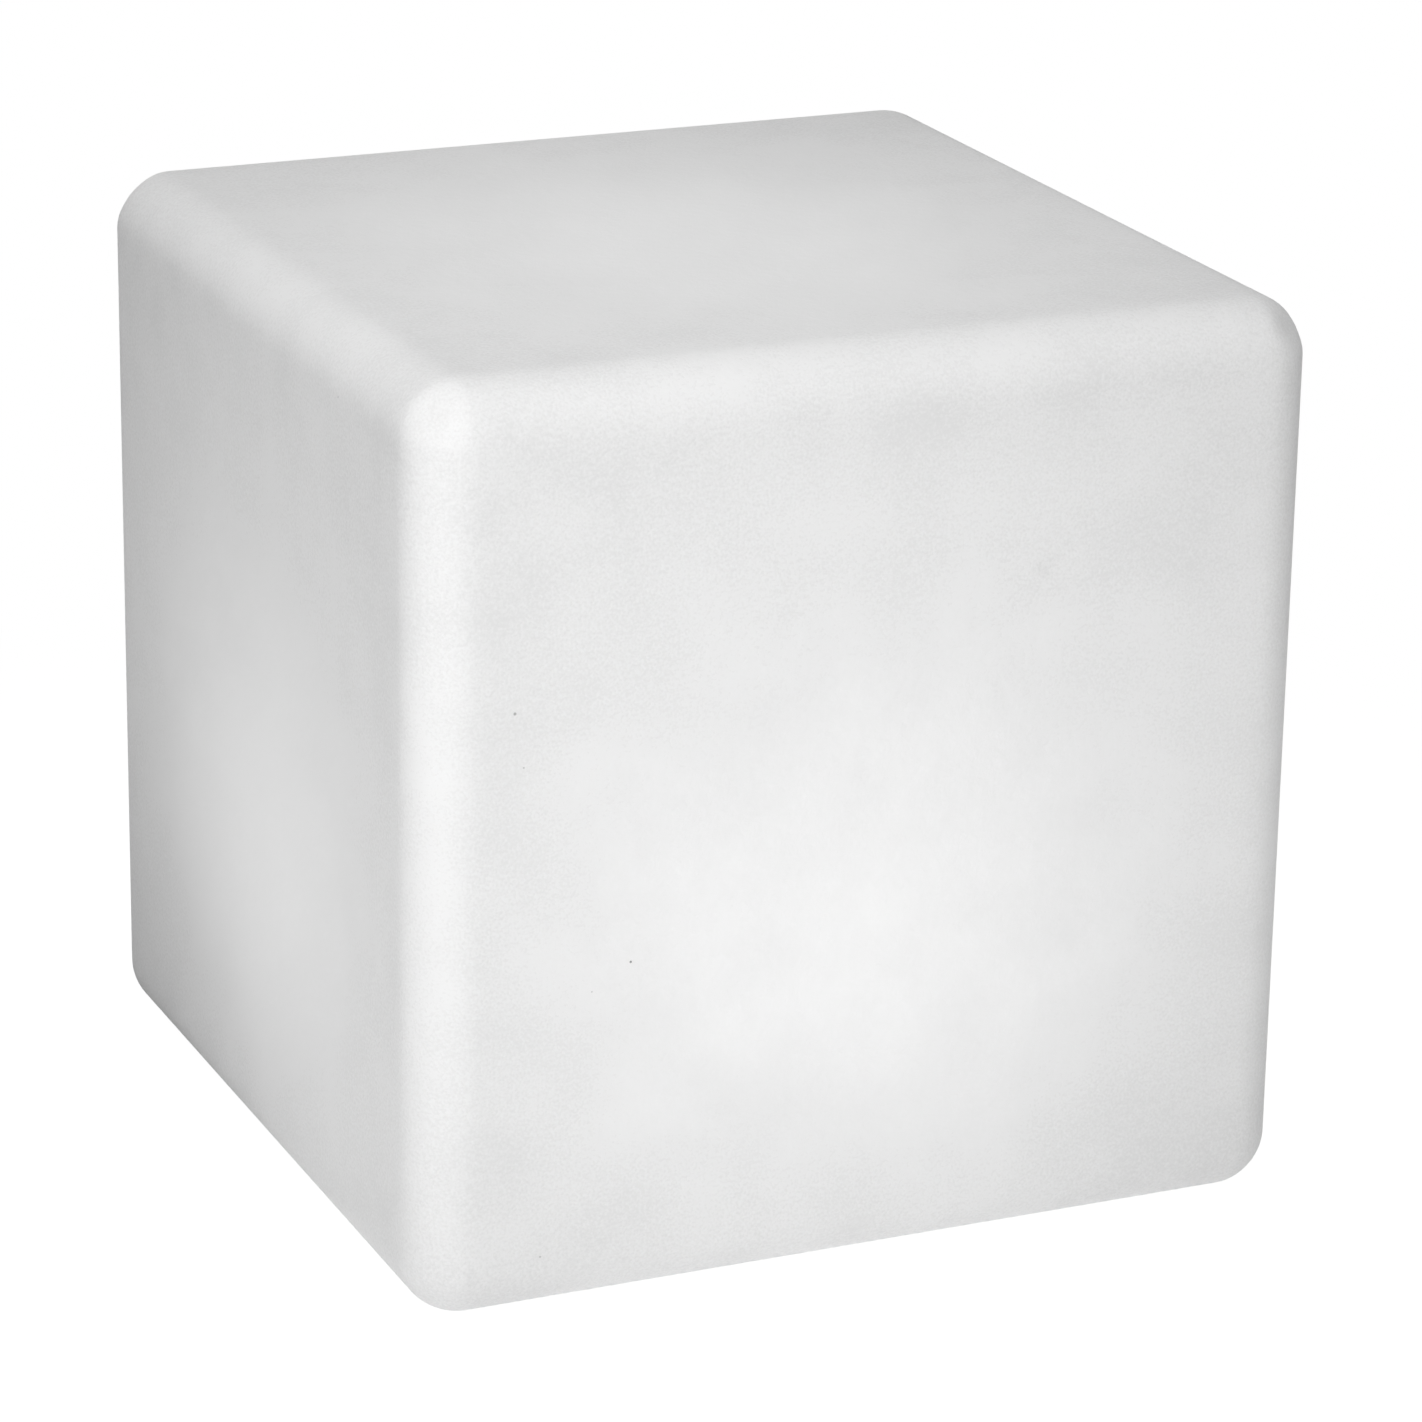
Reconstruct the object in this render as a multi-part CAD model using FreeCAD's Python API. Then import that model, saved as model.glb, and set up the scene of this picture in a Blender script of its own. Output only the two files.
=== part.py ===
import FreeCAD, Part
import math
import os

# Garden light cube: a hollow moulded cube on four rubber feet, with a rechargeable light pod
# that twists into a ring in its underside. Millimetres. +Z is up, -Y is the front, and the
# origin is on the ground under the middle of the cube.

# ---------------------------------------------------------------- driving sizes
# cube shell, moulded in one piece
side = 400.0
edge_radius = 25.0
shell_wall = 3.5
well_depth = 30.0
well_root_radius = 6.0
well_inner_mouth_radius = 2.5
boss_fillet = 3.0
cut_overrun = 1.0

# screw-in feet
foot_pitch = 300.0
foot_proud = 2.0
foot_height = 8.0
foot_top_radius = 14.0
foot_base_radius = 12.5
foot_seat_gap = 1.0
foot_base_fillet = 0.8
foot_stud_radius = 2.5
foot_stud_reach = 8.0
foot_stud_head_radius = 7.0
foot_stud_head_height = 1.5
foot_stud_head_depth = 3.0

# moulded-in brass inserts
insert_wall = 1.95
insert_groove_depth = 0.7
insert_length = 10.0
insert_floor = 0.8
insert_land = 2.4
thread_gap = 0.05
thread_run_out = 1.0

# pan-head screws, as shares of the head's height or radius or of the shank's radius
screw_head_round = 0.45
screw_tip_share = 0.3
screw_slot_width = 0.24
screw_slot_length = 1.1
screw_slot_depth = 0.5

# mounting ring and its screws
ring_flange = 3.5
ring_gasket_thickness = 1.5
ring_screw_count = 6
ring_screw_radius = 2.0
ring_screw_head_radius = 4.0
ring_screw_head_height = 3.1
ring_screw_length = 13.0
screw_hole_gap = 0.25
neck_wall = 3.0
opening_gap = 0.5
gasket_inset = 2.0
gasket_screw_margin = 12.0
gasket_outer_margin = 8.0
ring_rim = 2.0
ledge_lift = 7.0
ledge_height = 3.0
ledge_angle = 50.0
stop_rib_angle = 3.5
stop_gap_angle = 0.5
stop_rib_reach = 3.5
neck_above_lug = 2.7

# light pod housing
pod_wall = 2.5
pod_floor = 3.5
pod_ring_gap = 0.3
pod_twist = 48.0
part_gap = 4.3
lug_count = 3
lug_angle = 40.0
lug_height = 4.0
lug_reach = 6.0
lug_lift = 0.3
lug_neck_gap = 0.5
ledge_gap = 0.6
pod_flange_head_gap = 3.0
pod_seal_width = 7.0
pod_seal_rim = 2.0
pod_seal_groove = 1.2
pod_seal_gap = 0.05
mark_depth = 0.4
mark_angle = 78.0
mark_size = 3.0
mark_hole_share = 0.55
pointer_length = 4.5

# grip bar across the pod's underside
grip_length = 90.0
grip_width = 13.0
grip_recess = 6.0
grip_fillet = 2.0
grip_rib_count = 9
grip_rib_pitch = 7.0
grip_rib_width = 1.4
grip_rib_height = 0.6
grip_seat_depth = 0.8
grip_seat_gap = 0.1
grip_screw_x = 22.0
grip_screw_length = 9.0
grip_head_depth = 2.1
grip_head_gap = 0.3

# cells, cradle and clamp
cell_radius = 9.2
cell_length = 65.0
cell_count = 2
cell_button_radius = 3.0
cell_button_height = 1.0
cell_gap = 0.6
cell_edge_radius = 0.6
cell_saddle_gap = 0.1
cradle_base = 1.5
cradle_wall = 1.5
cradle_end_gap = 0.3
tab_thickness = 0.3
tab_width = 8.0
tab_riser_width = 5.0
tab_lap = 5.0
column_radius = 3.5
column_gap = 1.9
column_wall_gap = 5.5
clamp_gap = 0.2
clamp_thickness = 1.5
clamp_overhang = 4.5
clamp_ear_width = 18.0
clamp_slot_gap = 0.9
protection_length = 60.0
protection_width = 10.0
protection_thickness = 1.0
protection_chip_length = 6.2
protection_chip_width = 4.4
protection_chip_height = 1.4
protection_chip_gap = 2.5
protection_row_offset = 1.0
controller_length = 3.0
lead_pad_length = 2.0

# boards and what holds them
board_thickness = 1.6
board_wall_gap = 1.0
board_chip_gap = 0.9
pillar_radius = 4.5
pillar_overlap = 0.3
pillar_angles = (50.0, 130.0, 230.0, 310.0)
standoff_length = 10.0
standoff_flats = 5.0
standoff_stud_length = 6.0
small_screw_radius = 1.5
small_screw_head_radius = 2.8
small_screw_head_height = 2.0
dome_screw_length = 11.0
clamp_screw_length = 8.0
spreader_thickness = 2.0
window_margin = 3.0
window_depth = 8.0
connector_height = 7.0
connector_depth = 5.6
connector_setback = 7.0
connector_margin = 1.0

# parts that stand on the control board
board_edge_margin = 10.0
board_part_gap = 7.0
front_row_y = -12.0
back_row_y = 7.0
driver_chip_size = 10.0
driver_chip_height = 1.4
charger_chip_length = 6.0
charger_chip_width = 5.0
charger_chip_height = 1.5
converter_chip_length = 6.5
converter_chip_width = 6.0
converter_chip_height = 2.2
small_chip_size = 3.0
small_chip_height = 1.1
small_chip_pitch = 8.0
capacitor_radius = 4.0
capacitor_height = 8.0
capacitor_pitch = 11.0
capacitor_edge_radius = 0.5
inductor_size = 8.0
inductor_height = 4.5
inductor_corner_radius = 1.2

# light engine
dome_wall = 2.0
dome_flange = 2.5
dome_rise = 24.0
dome_head_gap = 1.0
dome_board_gap = 1.5
dome_seal_thickness = 1.0
dome_seal_lap = 0.5
led_size = 5.0
led_height = 1.6
led_window_radius = 2.1
led_window_depth = 0.5
led_edge_margin = 8.0
led_outer_count = 18
led_inner_count = 9
led_slot_margin = 1.5
led_screw_count = 3
led_screw_angle = 30.0
led_screw_gap = 0.3
led_screw_length = 3.4
receiver_width = 5.6
receiver_height = 6.0
receiver_lens_radius = 2.3
led_slot_length = 12.0
led_slot_width = 5.0
led_slot_y = 9.0

# charging socket
socket_wall_distance = 13.5
socket_barrel_radius = 5.5
socket_bore_radius = 3.15
socket_bore_depth = 9.5
socket_pin_radius = 1.05
socket_pin_recess = 1.5
socket_pin_edge_radius = 0.4
socket_rivet_radius = 1.4
socket_back = 2.2
socket_flange_radius = 7.0
socket_flange = 1.5
socket_nut_radius = 7.0
socket_nut_height = 2.0
socket_nut_corner_share = 1.05
socket_recess_gap = 1.2
socket_recess_depth = 3.0
socket_web = 2.5
socket_boss_wall = 1.8
socket_barrel_proud = 1.9
terminal_length = 6.0
terminal_width = 2.4
terminal_thickness = 0.5
terminal_pitch = 6.0

# hinged rubber port cover
cover_lap = 1.0
cover_thickness = 1.6
cover_edge_radius = 0.6
cover_plug_gap = 0.6
cover_plug_taper = 0.4
cover_plug_depth = 0.8
cover_gap = 0.05
cover_hinge_margin = 2.0
cover_pull_reach = 1.0
cover_strap_width = 5.0
cover_strap_thickness = 1.2
cover_knuckle_radius = 0.8
cover_knuckle_gap = 0.1
cover_knuckle_relief = 1.6
anchor_distance = 5.0
anchor_radius = 3.5
anchor_stud_radius = 1.45
anchor_barb_radius = 2.5
anchor_barb_height = 1.2

# power button, its switch board and the indicator
button_wall_distance = 12.5
button_x = -5.0
button_radius = 6.0
button_gap = 0.2
button_proud = 0.8
button_edge_radius = 0.5
button_dish_radius = 24.0
button_dish_depth = 0.3
button_travel = 1.2
button_flange_reach = 1.2
button_flange = 1.5
button_rest_gap = 0.05
button_seal_radius = 0.5
button_seal_bite = 0.1
button_nub_radius = 2.0
button_stop_gap = 0.05
spring_radius = 5.5
spring_wire = 0.3
spring_turns = 5
spring_end_gap = 12.0
switch_board_length = 38.0
switch_board_width = 13.0
switch_board_lift = 8.0
switch_post_radius = 2.4
switch_post_inset = 2.5
switch_screw_radius = 1.25
switch_screw_head_radius = 2.2
switch_screw_head_height = 1.5
switch_screw_length = 6.0
tact_size = 6.0
tact_height = 3.5
tact_plunger_radius = 1.75
tact_plunger = 1.5
indicator_x = 9.0
indicator_radius = 1.8
indicator_flange_radius = 2.8
indicator_flange = 1.0
indicator_lamp_radius = 1.5
indicator_lamp_height = 4.0

# leads
power_lead_radius = 0.9
signal_lead_radius = 0.6
led_lead_count = 5
led_lead_pitch = 2.2
led_lead_lap = 1.5
led_lead_lift = 0.1
battery_lead_x = 7.5
battery_lead_lift = 0.25
signal_lead_pitch = 2.5
bend_share = 0.45

# ---------------------------------------------------------------- heights
shell_bottom = foot_proud
shell_top = shell_bottom + side
well_roof = shell_bottom + well_depth
roof_top = well_roof + shell_wall
gasket_bottom = well_roof - ring_gasket_thickness
ring_bottom = gasket_bottom - ring_flange
floor_top = ring_bottom - pod_ring_gap
pod_bottom = floor_top - pod_floor
grip_bottom = shell_bottom + grip_recess

cell_z = floor_top + cradle_base + cell_saddle_gap + cell_radius
cell_top = cell_z + cell_radius
clamp_bottom = cell_top + clamp_gap
clamp_top = clamp_bottom + clamp_thickness
protection_top = clamp_top + protection_thickness
board_bottom = protection_top + protection_chip_height + board_chip_gap
board_top = board_bottom + board_thickness
spreader_bottom = board_top + standoff_length
rim_top = spreader_bottom + spreader_thickness
led_board_top = rim_top + board_thickness
dome_flange_bottom = rim_top + dome_seal_thickness
dome_flange_top = dome_flange_bottom + dome_flange

ledge_bottom = ring_bottom + ledge_lift
ledge_top = ledge_bottom + ledge_height
lug_bottom = ledge_top + lug_lift
lug_top = lug_bottom + lug_height
neck_top = lug_top + neck_above_lug

switch_board_bottom = floor_top + switch_board_lift
switch_board_top = switch_board_bottom + board_thickness
socket_flange_bottom = pod_bottom + socket_recess_depth + socket_web
socket_mouth = pod_bottom + socket_recess_depth - socket_barrel_proud
lead_height = board_top + connector_height / 2
battery_lead_z = clamp_top + power_lead_radius + (board_bottom - clamp_top) * battery_lead_lift

# ---------------------------------------------------------------- plan positions and radii
cell_pitch = 2 * cell_radius + cell_gap
cradle_half_width = cell_pitch / 2 + cell_radius + cell_saddle_gap + cradle_wall
cradle_half_length = cell_length / 2 + tab_thickness + cradle_end_gap + cradle_wall
column_x = cradle_half_length + column_gap + column_radius
socket_recess_radius = socket_nut_radius + socket_recess_gap
socket_boss_radius = socket_recess_radius + socket_boss_wall

# the housing is as wide as its contents need, either along the cells or across them
across_contents = (
    button_wall_distance
    + switch_board_width / 2
    + part_gap
    + 2 * cradle_half_width
    + part_gap
    + socket_boss_radius
    + socket_wall_distance
)
pod_inner_radius = max(column_x + column_radius + column_wall_gap, across_contents / 2)
pod_outer_radius = pod_inner_radius + pod_wall
button_y = -(pod_inner_radius - button_wall_distance)
cell_row_y = button_y + switch_board_width / 2 + part_gap + cradle_half_width
socket_y = pod_inner_radius - socket_wall_distance
battery_lead_start = cell_row_y + protection_width / 2
power_connector_y = socket_y - connector_setback
switch_connector_y = button_y + connector_setback

pillar_circle = pod_inner_radius - pillar_radius + pillar_overlap
board_radius = pod_inner_radius - board_wall_gap
ledge_radius = pod_outer_radius + ledge_gap
lug_radius = pod_outer_radius + lug_reach
neck_bore_radius = lug_radius + lug_neck_gap
neck_radius = neck_bore_radius + neck_wall
opening_radius = neck_radius + opening_gap
gasket_inner_radius = opening_radius + gasket_inset
ring_screw_circle = gasket_inner_radius + gasket_screw_margin
gasket_outer_radius = ring_screw_circle + gasket_outer_margin
ring_radius = gasket_outer_radius + ring_rim
well_radius = ring_radius + well_root_radius
well_mouth_radius = shell_wall + well_inner_mouth_radius
pod_flange_radius = ring_screw_circle - ring_screw_head_radius - pod_flange_head_gap
pod_seal_outer = pod_flange_radius - pod_seal_rim
pod_seal_inner = pod_seal_outer - pod_seal_width

insert_radius = ring_screw_radius + insert_wall + thread_gap
foot_insert_radius = foot_stud_radius + insert_wall + thread_gap
foot_seat_radius = foot_top_radius + foot_seat_gap
foot_seat_top = foot_height

dome_base_radius = pillar_circle - small_screw_head_radius - dome_head_gap
led_board_radius = dome_base_radius - dome_wall - dome_board_gap
led_outer_ring_radius = led_board_radius - led_edge_margin
led_slot_corner = math.hypot(led_slot_length / 2, led_slot_y + led_slot_width / 2)
led_inner_ring_radius = led_slot_corner + led_slot_margin + led_size / 2
led_screw_circle = (
    led_inner_ring_radius + led_size / 2 + led_screw_gap + switch_screw_head_radius
)

cover_radius = socket_recess_radius + cover_lap
cover_hinge_x = cover_radius + cover_hinge_margin
cover_hinge_z = pod_bottom - cover_gap - cover_knuckle_radius
anchor_x = cover_hinge_x + anchor_distance
switch_post_x = switch_board_length / 2 - switch_post_inset
button_hole_radius = button_radius + button_gap

UP = FreeCAD.Vector(0, 0, 1)
ORIGIN = FreeCAD.Vector(0, 0, 0)


# ---------------------------------------------------------------- shape helpers
def point(x, y, z):
    return FreeCAD.Vector(x, y, z)


def cylinder(radius, bottom, top, x=0.0, y=0.0):
    return Part.makeCylinder(radius, top - bottom, point(x, y, bottom), UP)


def cone(bottom_radius, top_radius, bottom, top, x=0.0, y=0.0):
    return Part.makeCone(bottom_radius, top_radius, top - bottom, point(x, y, bottom), UP)


def ring(outer, inner, bottom, top):
    return cylinder(outer, bottom, top).cut(cylinder(inner, bottom, top))


def block(x0, x1, y0, y1, bottom, top):
    return Part.makeBox(x1 - x0, y1 - y0, top - bottom, point(x0, y0, bottom))


def centred_block(x, y, length, width, bottom, top):
    return block(x - length / 2, x + length / 2, y - width / 2, y + width / 2, bottom, top)


def rod_along_x(radius, x0, x1, y, z):
    return Part.makeCylinder(radius, x1 - x0, point(x0, y, z), point(1, 0, 0))


def rod_along_y(radius, x, y0, y1, z):
    return Part.makeCylinder(radius, y1 - y0, point(x, y0, z), point(0, 1, 0))


def join(*pieces):
    return pieces[0].multiFuse(list(pieces[1:])).removeSplitter()


def rounded(shape, radius, wanted):
    return shape.makeFillet(radius, [edge for edge in shape.Edges if wanted(edge)])


def is_level(edge, z):
    box = edge.BoundBox
    return abs(box.ZMin - z) < 1e-4 and abs(box.ZMax - z) < 1e-4


def turned(shape, degrees):
    copy = shape.copy()
    copy.rotate(ORIGIN, UP, degrees)
    return copy


def moved(shape, x, y, z):
    copy = shape.copy()
    copy.translate(point(x, y, z))
    return copy


def around(shape, count, first=0.0):
    return [turned(shape, first + 360.0 * i / count) for i in range(count)]


def polar(radius, degrees):
    angle = math.radians(degrees)
    return radius * math.cos(angle), radius * math.sin(angle)


def at_pillars(shape):
    """Copies of a shape made on the axis, one at each pillar."""
    return [moved(shape, *polar(pillar_circle, angle), 0.0) for angle in pillar_angles]


def sector(inner, outer, bottom, top, start, end):
    """A stretch of a ring from one angle to another, in degrees."""
    middle = (start + end) / 2
    inner_arc = Part.Arc(
        point(*polar(inner, start), bottom),
        point(*polar(inner, middle), bottom),
        point(*polar(inner, end), bottom),
    )
    outer_arc = Part.Arc(
        point(*polar(outer, end), bottom),
        point(*polar(outer, middle), bottom),
        point(*polar(outer, start), bottom),
    )
    edges = [
        inner_arc.toShape(),
        Part.makeLine(inner_arc.EndPoint, outer_arc.StartPoint),
        outer_arc.toShape(),
        Part.makeLine(outer_arc.EndPoint, inner_arc.StartPoint),
    ]
    return Part.Face(Part.Wire(edges)).extrude(point(0, 0, top - bottom))


def revolve(steps):
    """Turn a closed outline about Z. A step is (r, z), or a pair for an arc: via, then end."""
    edges = []
    first = point(steps[0][0], 0, steps[0][1])
    here = first
    for step in steps[1:]:
        if isinstance(step[0], tuple):
            via, end = step
            there = point(end[0], 0, end[1])
            edges.append(Part.Arc(here, point(via[0], 0, via[1]), there).toShape())
        else:
            there = point(step[0], 0, step[1])
            if here.distanceToPoint(there) > 1e-6:
                edges.append(Part.makeLine(here, there))
        here = there
    if here.distanceToPoint(first) > 1e-6:
        edges.append(Part.makeLine(here, first))
    return Part.Face(Part.Wire(edges)).revolve(ORIGIN, UP, 360)


def on_circle(centre, radius, degrees):
    dr, dz = polar(radius, degrees)
    return centre[0] + dr, centre[1] + dz


def pan_screw(radius, head_radius, head_height, length):
    """A pan-head screw with a cross recess. Its head stands on z = 0 and its shank hangs down."""
    head = rounded(
        cylinder(head_radius, 0, head_height),
        head_height * screw_head_round,
        lambda edge: is_level(edge, head_height),
    )
    tip = radius * screw_tip_share
    shank = join(
        cylinder(radius, tip - length, 0),
        cone(radius - tip, radius, -length, tip - length),
    )
    slot_width = head_radius * screw_slot_width
    slot_length = head_radius * screw_slot_length
    slot_bottom = head_height * screw_slot_depth
    slots = join(
        centred_block(0, 0, slot_length, slot_width, slot_bottom, head_height),
        centred_block(0, 0, slot_width, slot_length, slot_bottom, head_height),
    )
    return join(head, shank).cut(slots)


def upside_down(shape):
    copy = shape.copy()
    copy.rotate(ORIGIN, point(1, 0, 0), 180)
    return copy


def tube(route, radius, name):
    """A round lead along straight runs joined by tangent arcs, as large as the runs allow."""
    stops = [point(*stop) for stop in route]
    edges = []
    radii = []
    here = stops[0]
    for before, corner, after in zip(stops, stops[1:], stops[2:]):
        back = before - corner
        ahead = after - corner
        half_turn = (math.pi - back.getAngle(ahead)) / 2
        trim = bend_share * min(back.Length, ahead.Length)
        bend = trim / math.tan(half_turn)
        radii.append(bend)
        back.normalize()
        ahead.normalize()
        start = corner + back * trim
        end = corner + ahead * trim
        inward = back + ahead
        inward.normalize()
        middle = corner + inward * (bend / math.cos(half_turn) - bend)
        edges.append(Part.LineSegment(here, start).toShape())
        edges.append(Part.Arc(start, middle, end).toShape())
        here = end
    edges.append(Part.LineSegment(here, stops[-1]).toShape())
    path = Part.Wire(edges)
    section = Part.Wire([Part.makeCircle(radius, stops[0], stops[1] - stops[0])])
    lead = path.makePipeShell([section], True, False)
    share = lead.Volume / (math.pi * radius**2 * path.Length)
    least = min(radii) if radii else 0.0
    print(f"{name}: length {path.Length:.1f}, least bend {least:.2f}, volume share {share:.4f}")
    return lead


def save(name, *solids):
    shape = solids[0] if len(solids) == 1 else Part.makeCompound(list(solids))
    shape.exportStep(f"parts/{name}.step")


# ---------------------------------------------------------------- cube shell, inserts and feet
def rounded_cube(offset):
    """The cube's outline, moved inwards by an offset that keeps its corner centres."""
    half = side / 2 - offset
    body = block(-half, half, -half, half, shell_bottom + offset, shell_top - offset)
    return body.makeFillet(edge_radius - offset, body.Edges)


def well(offset):
    """The round recess in the underside, moved outwards into the plastic by an offset."""
    mouth = (well_radius + well_mouth_radius, shell_bottom + well_mouth_radius)
    root = (well_radius - well_root_radius, well_roof - well_root_radius)
    mouth_radius = well_mouth_radius - offset
    root_radius = well_root_radius + offset
    below = shell_bottom - cut_overrun
    return revolve(
        [
            (0, below),
            (mouth[0], below),
            on_circle(mouth, mouth_radius, 270),
            (on_circle(mouth, mouth_radius, 225), on_circle(mouth, mouth_radius, 180)),
            on_circle(root, root_radius, 0),
            (on_circle(root, root_radius, 45), on_circle(root, root_radius, 90)),
            (0, root[1] + root_radius),
        ]
    )


def boss(radius, bottom, top, fillet):
    """A round-topped pillar of plastic with a flared foot that stands on the inner surface."""
    fillet = min(fillet, (top - bottom) / 2)
    top_centre = (radius - fillet, top - fillet)
    foot_centre = (radius + fillet, bottom + fillet)
    return revolve(
        [
            (0, bottom - shell_wall / 2),
            (radius + fillet, bottom - shell_wall / 2),
            on_circle(foot_centre, fillet, 270),
            (on_circle(foot_centre, fillet, 225), on_circle(foot_centre, fillet, 180)),
            on_circle(top_centre, fillet, 0),
            (on_circle(top_centre, fillet, 45), on_circle(top_centre, fillet, 90)),
            (0, top),
        ]
    )


def insert_outline(radius, bottom):
    """The outside of a moulded-in insert: two lands and the groove that the plastic fills."""
    waist = radius - insert_groove_depth
    top = bottom + insert_length
    return revolve(
        [
            (0, bottom),
            (radius, bottom),
            (radius, bottom + insert_land),
            (waist, bottom + insert_land),
            (waist, top - insert_land),
            (radius, top - insert_land),
            (radius, top),
            (0, top),
        ]
    )


def brass_insert(radius, bore_radius, bottom):
    bore = cylinder(bore_radius, bottom, bottom + insert_length - insert_floor)
    return insert_outline(radius, bottom).cut(bore)


def at_feet(shape):
    half = foot_pitch / 2
    return [moved(shape, x, y, 0.0) for x in (-half, half) for y in (-half, half)]


def at_ring_screws(shape):
    return around(moved(shape, ring_screw_circle, 0, 0), ring_screw_count)


def cube_shell():
    insert_top = insert_length + shell_wall
    ring_boss = boss(
        insert_radius + shell_wall, roof_top, well_roof + insert_top, boss_fillet
    )
    seat_bump = boss(
        foot_seat_radius + shell_wall,
        shell_bottom + shell_wall,
        foot_seat_top + shell_wall,
        boss_fillet,
    )
    seat_boss = boss(
        foot_insert_radius + shell_wall,
        foot_seat_top + shell_wall,
        foot_seat_top + insert_top,
        boss_fillet,
    )
    seat = cylinder(foot_seat_radius, shell_bottom - cut_overrun, foot_seat_top)
    hollow = rounded_cube(shell_wall).cut(well(shell_wall))
    hollow = hollow.cut(at_ring_screws(ring_boss))
    hollow = hollow.cut(at_feet(join(seat_bump, seat_boss)))
    shell = rounded_cube(0.0).cut(hollow).cut(well(0.0))
    shell = shell.cut(
        cylinder(opening_radius, well_roof - cut_overrun, roof_top + cut_overrun)
    )
    shell = shell.cut(at_ring_screws(insert_outline(insert_radius, well_roof)))
    return shell.cut(at_feet(join(seat, insert_outline(foot_insert_radius, foot_seat_top))))


def foot_stud():
    head_top = foot_seat_top - foot_stud_head_depth
    head_bottom = head_top - foot_stud_head_height
    return join(
        cylinder(foot_stud_head_radius, head_bottom, head_top),
        cylinder(foot_stud_radius, head_top, foot_seat_top + foot_stud_reach),
    )


def rubber_foot():
    body = cone(foot_base_radius, foot_top_radius, 0, foot_seat_top)
    body = rounded(body, foot_base_fillet, lambda edge: is_level(edge, 0))
    return body.cut(foot_stud())


# ---------------------------------------------------------------- mounting ring
def ring_gasket():
    hole = cylinder(ring_screw_radius + screw_hole_gap, gasket_bottom, well_roof)
    gasket = ring(gasket_outer_radius, gasket_inner_radius, gasket_bottom, well_roof)
    return gasket.cut(at_ring_screws(hole))


def closed_and_open_marks(radius):
    """A dot where the light pod is locked, and a ring where it comes free, cut from below."""
    size = mark_size / 2
    top = ring_bottom + mark_depth
    closed = turned(cylinder(size, ring_bottom, top, radius, 0), mark_angle)
    free = cylinder(size, ring_bottom, top, radius, 0)
    free = free.cut(cylinder(size * mark_hole_share, ring_bottom, top, radius, 0))
    return [closed, turned(free, mark_angle - pod_twist)]


def mounting_ring():
    lug_half = lug_angle / 2
    closed_stop = lug_half + stop_gap_angle
    open_stop = -(lug_half + pod_twist + stop_gap_angle)
    rib_radius = neck_bore_radius - stop_rib_reach
    inside = neck_bore_radius + neck_wall / 2
    body = join(
        cylinder(ring_radius, ring_bottom, gasket_bottom),
        cylinder(neck_radius, ring_bottom, neck_top),
    )
    body = rounded(body, ring_rim / 2, lambda edge: is_level(edge, ring_bottom))
    body = body.cut(cylinder(neck_bore_radius, ring_bottom, neck_top))
    ledge = sector(
        ledge_radius, inside, ledge_bottom, ledge_top, -ledge_angle / 2, ledge_angle / 2
    )
    closed_rib = sector(
        rib_radius, inside, ledge_bottom, lug_top, closed_stop, closed_stop + stop_rib_angle
    )
    open_rib = sector(
        rib_radius, inside, ledge_bottom, lug_top, open_stop - stop_rib_angle, open_stop
    )
    bayonet = join(ledge, closed_rib, open_rib)
    body = join(body, *around(bayonet, lug_count))
    hole = cylinder(ring_screw_radius + screw_hole_gap, ring_bottom, gasket_bottom)
    body = body.cut(at_ring_screws(hole))
    return body.cut(closed_and_open_marks(ring_screw_circle))


def ring_screws():
    screw = pan_screw(
        ring_screw_radius, ring_screw_head_radius, ring_screw_head_height, ring_screw_length
    )
    return at_ring_screws(moved(upside_down(screw), 0, 0, ring_bottom))


# ---------------------------------------------------------------- grip bar
def grip_stadium(offset, bottom, top):
    """The bar's outline, a slot shape with round ends, moved outwards by an offset."""
    half = grip_width / 2 + offset
    run = (grip_length - grip_width) / 2
    return join(
        block(-run, run, -half, half, bottom, top),
        cylinder(half, bottom, top, -run),
        cylinder(half, bottom, top, run),
    )


def at_grip_screws(shape):
    return [moved(shape, x, 0.0, 0.0) for x in (-grip_screw_x, grip_screw_x)]


def grip_bar():
    """A bar to twist the pod by, with ribs for the fingers and a hollow from above. It sits in
    a shallow seat in the housing, and two blocks in its hollow take its screws."""
    half = grip_width / 2
    seat_top = pod_bottom + grip_seat_depth
    bar = grip_stadium(0.0, grip_bottom, seat_top)
    bar = rounded(bar, grip_fillet, lambda edge: is_level(edge, grip_bottom))
    rib_reach = half + grip_rib_height
    ribs = [
        centred_block(
            (i - (grip_rib_count - 1) / 2) * grip_rib_pitch,
            0,
            grip_rib_width,
            2 * rib_reach,
            grip_bottom + 2 * grip_fillet,
            pod_bottom,
        )
        for i in range(grip_rib_count)
    ]
    bar = join(bar, *ribs)
    hollow = grip_stadium(-pod_wall, grip_bottom + pod_wall, seat_top)
    screw_block = centred_block(
        0, 0, 4 * small_screw_radius, grip_width - pod_wall, grip_bottom + pod_wall / 2, seat_top
    )
    thread_bottom = floor_top - grip_head_depth - grip_screw_length - thread_run_out
    thread = cylinder(small_screw_radius + thread_gap, thread_bottom, seat_top)
    bar = join(bar.cut(hollow), *at_grip_screws(screw_block))
    return bar.cut(at_grip_screws(thread))


def grip_screws():
    head_seat = floor_top - grip_head_depth
    return at_grip_screws(small_screw(grip_screw_length, head_seat))


# ---------------------------------------------------------------- light pod housing
def pointer_mark():
    """A small triangle on the flange that points at the ring's marks, cut from below."""
    tip = pod_flange_radius - pod_seal_rim / 2
    corners = [
        point(tip, 0, pod_bottom),
        point(tip - pointer_length, mark_size, pod_bottom),
        point(tip - pointer_length, -mark_size, pod_bottom),
    ]
    face = Part.Face(Part.makePolygon(corners + corners[:1]))
    return turned(face.extrude(point(0, 0, mark_depth)), mark_angle)


def at_columns(shape):
    return [moved(shape, x, cell_row_y, 0.0) for x in (-column_x, column_x)]


def at_switch_posts(shape):
    return [moved(shape, x, button_y, 0.0) for x in (-switch_post_x, switch_post_x)]


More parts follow.
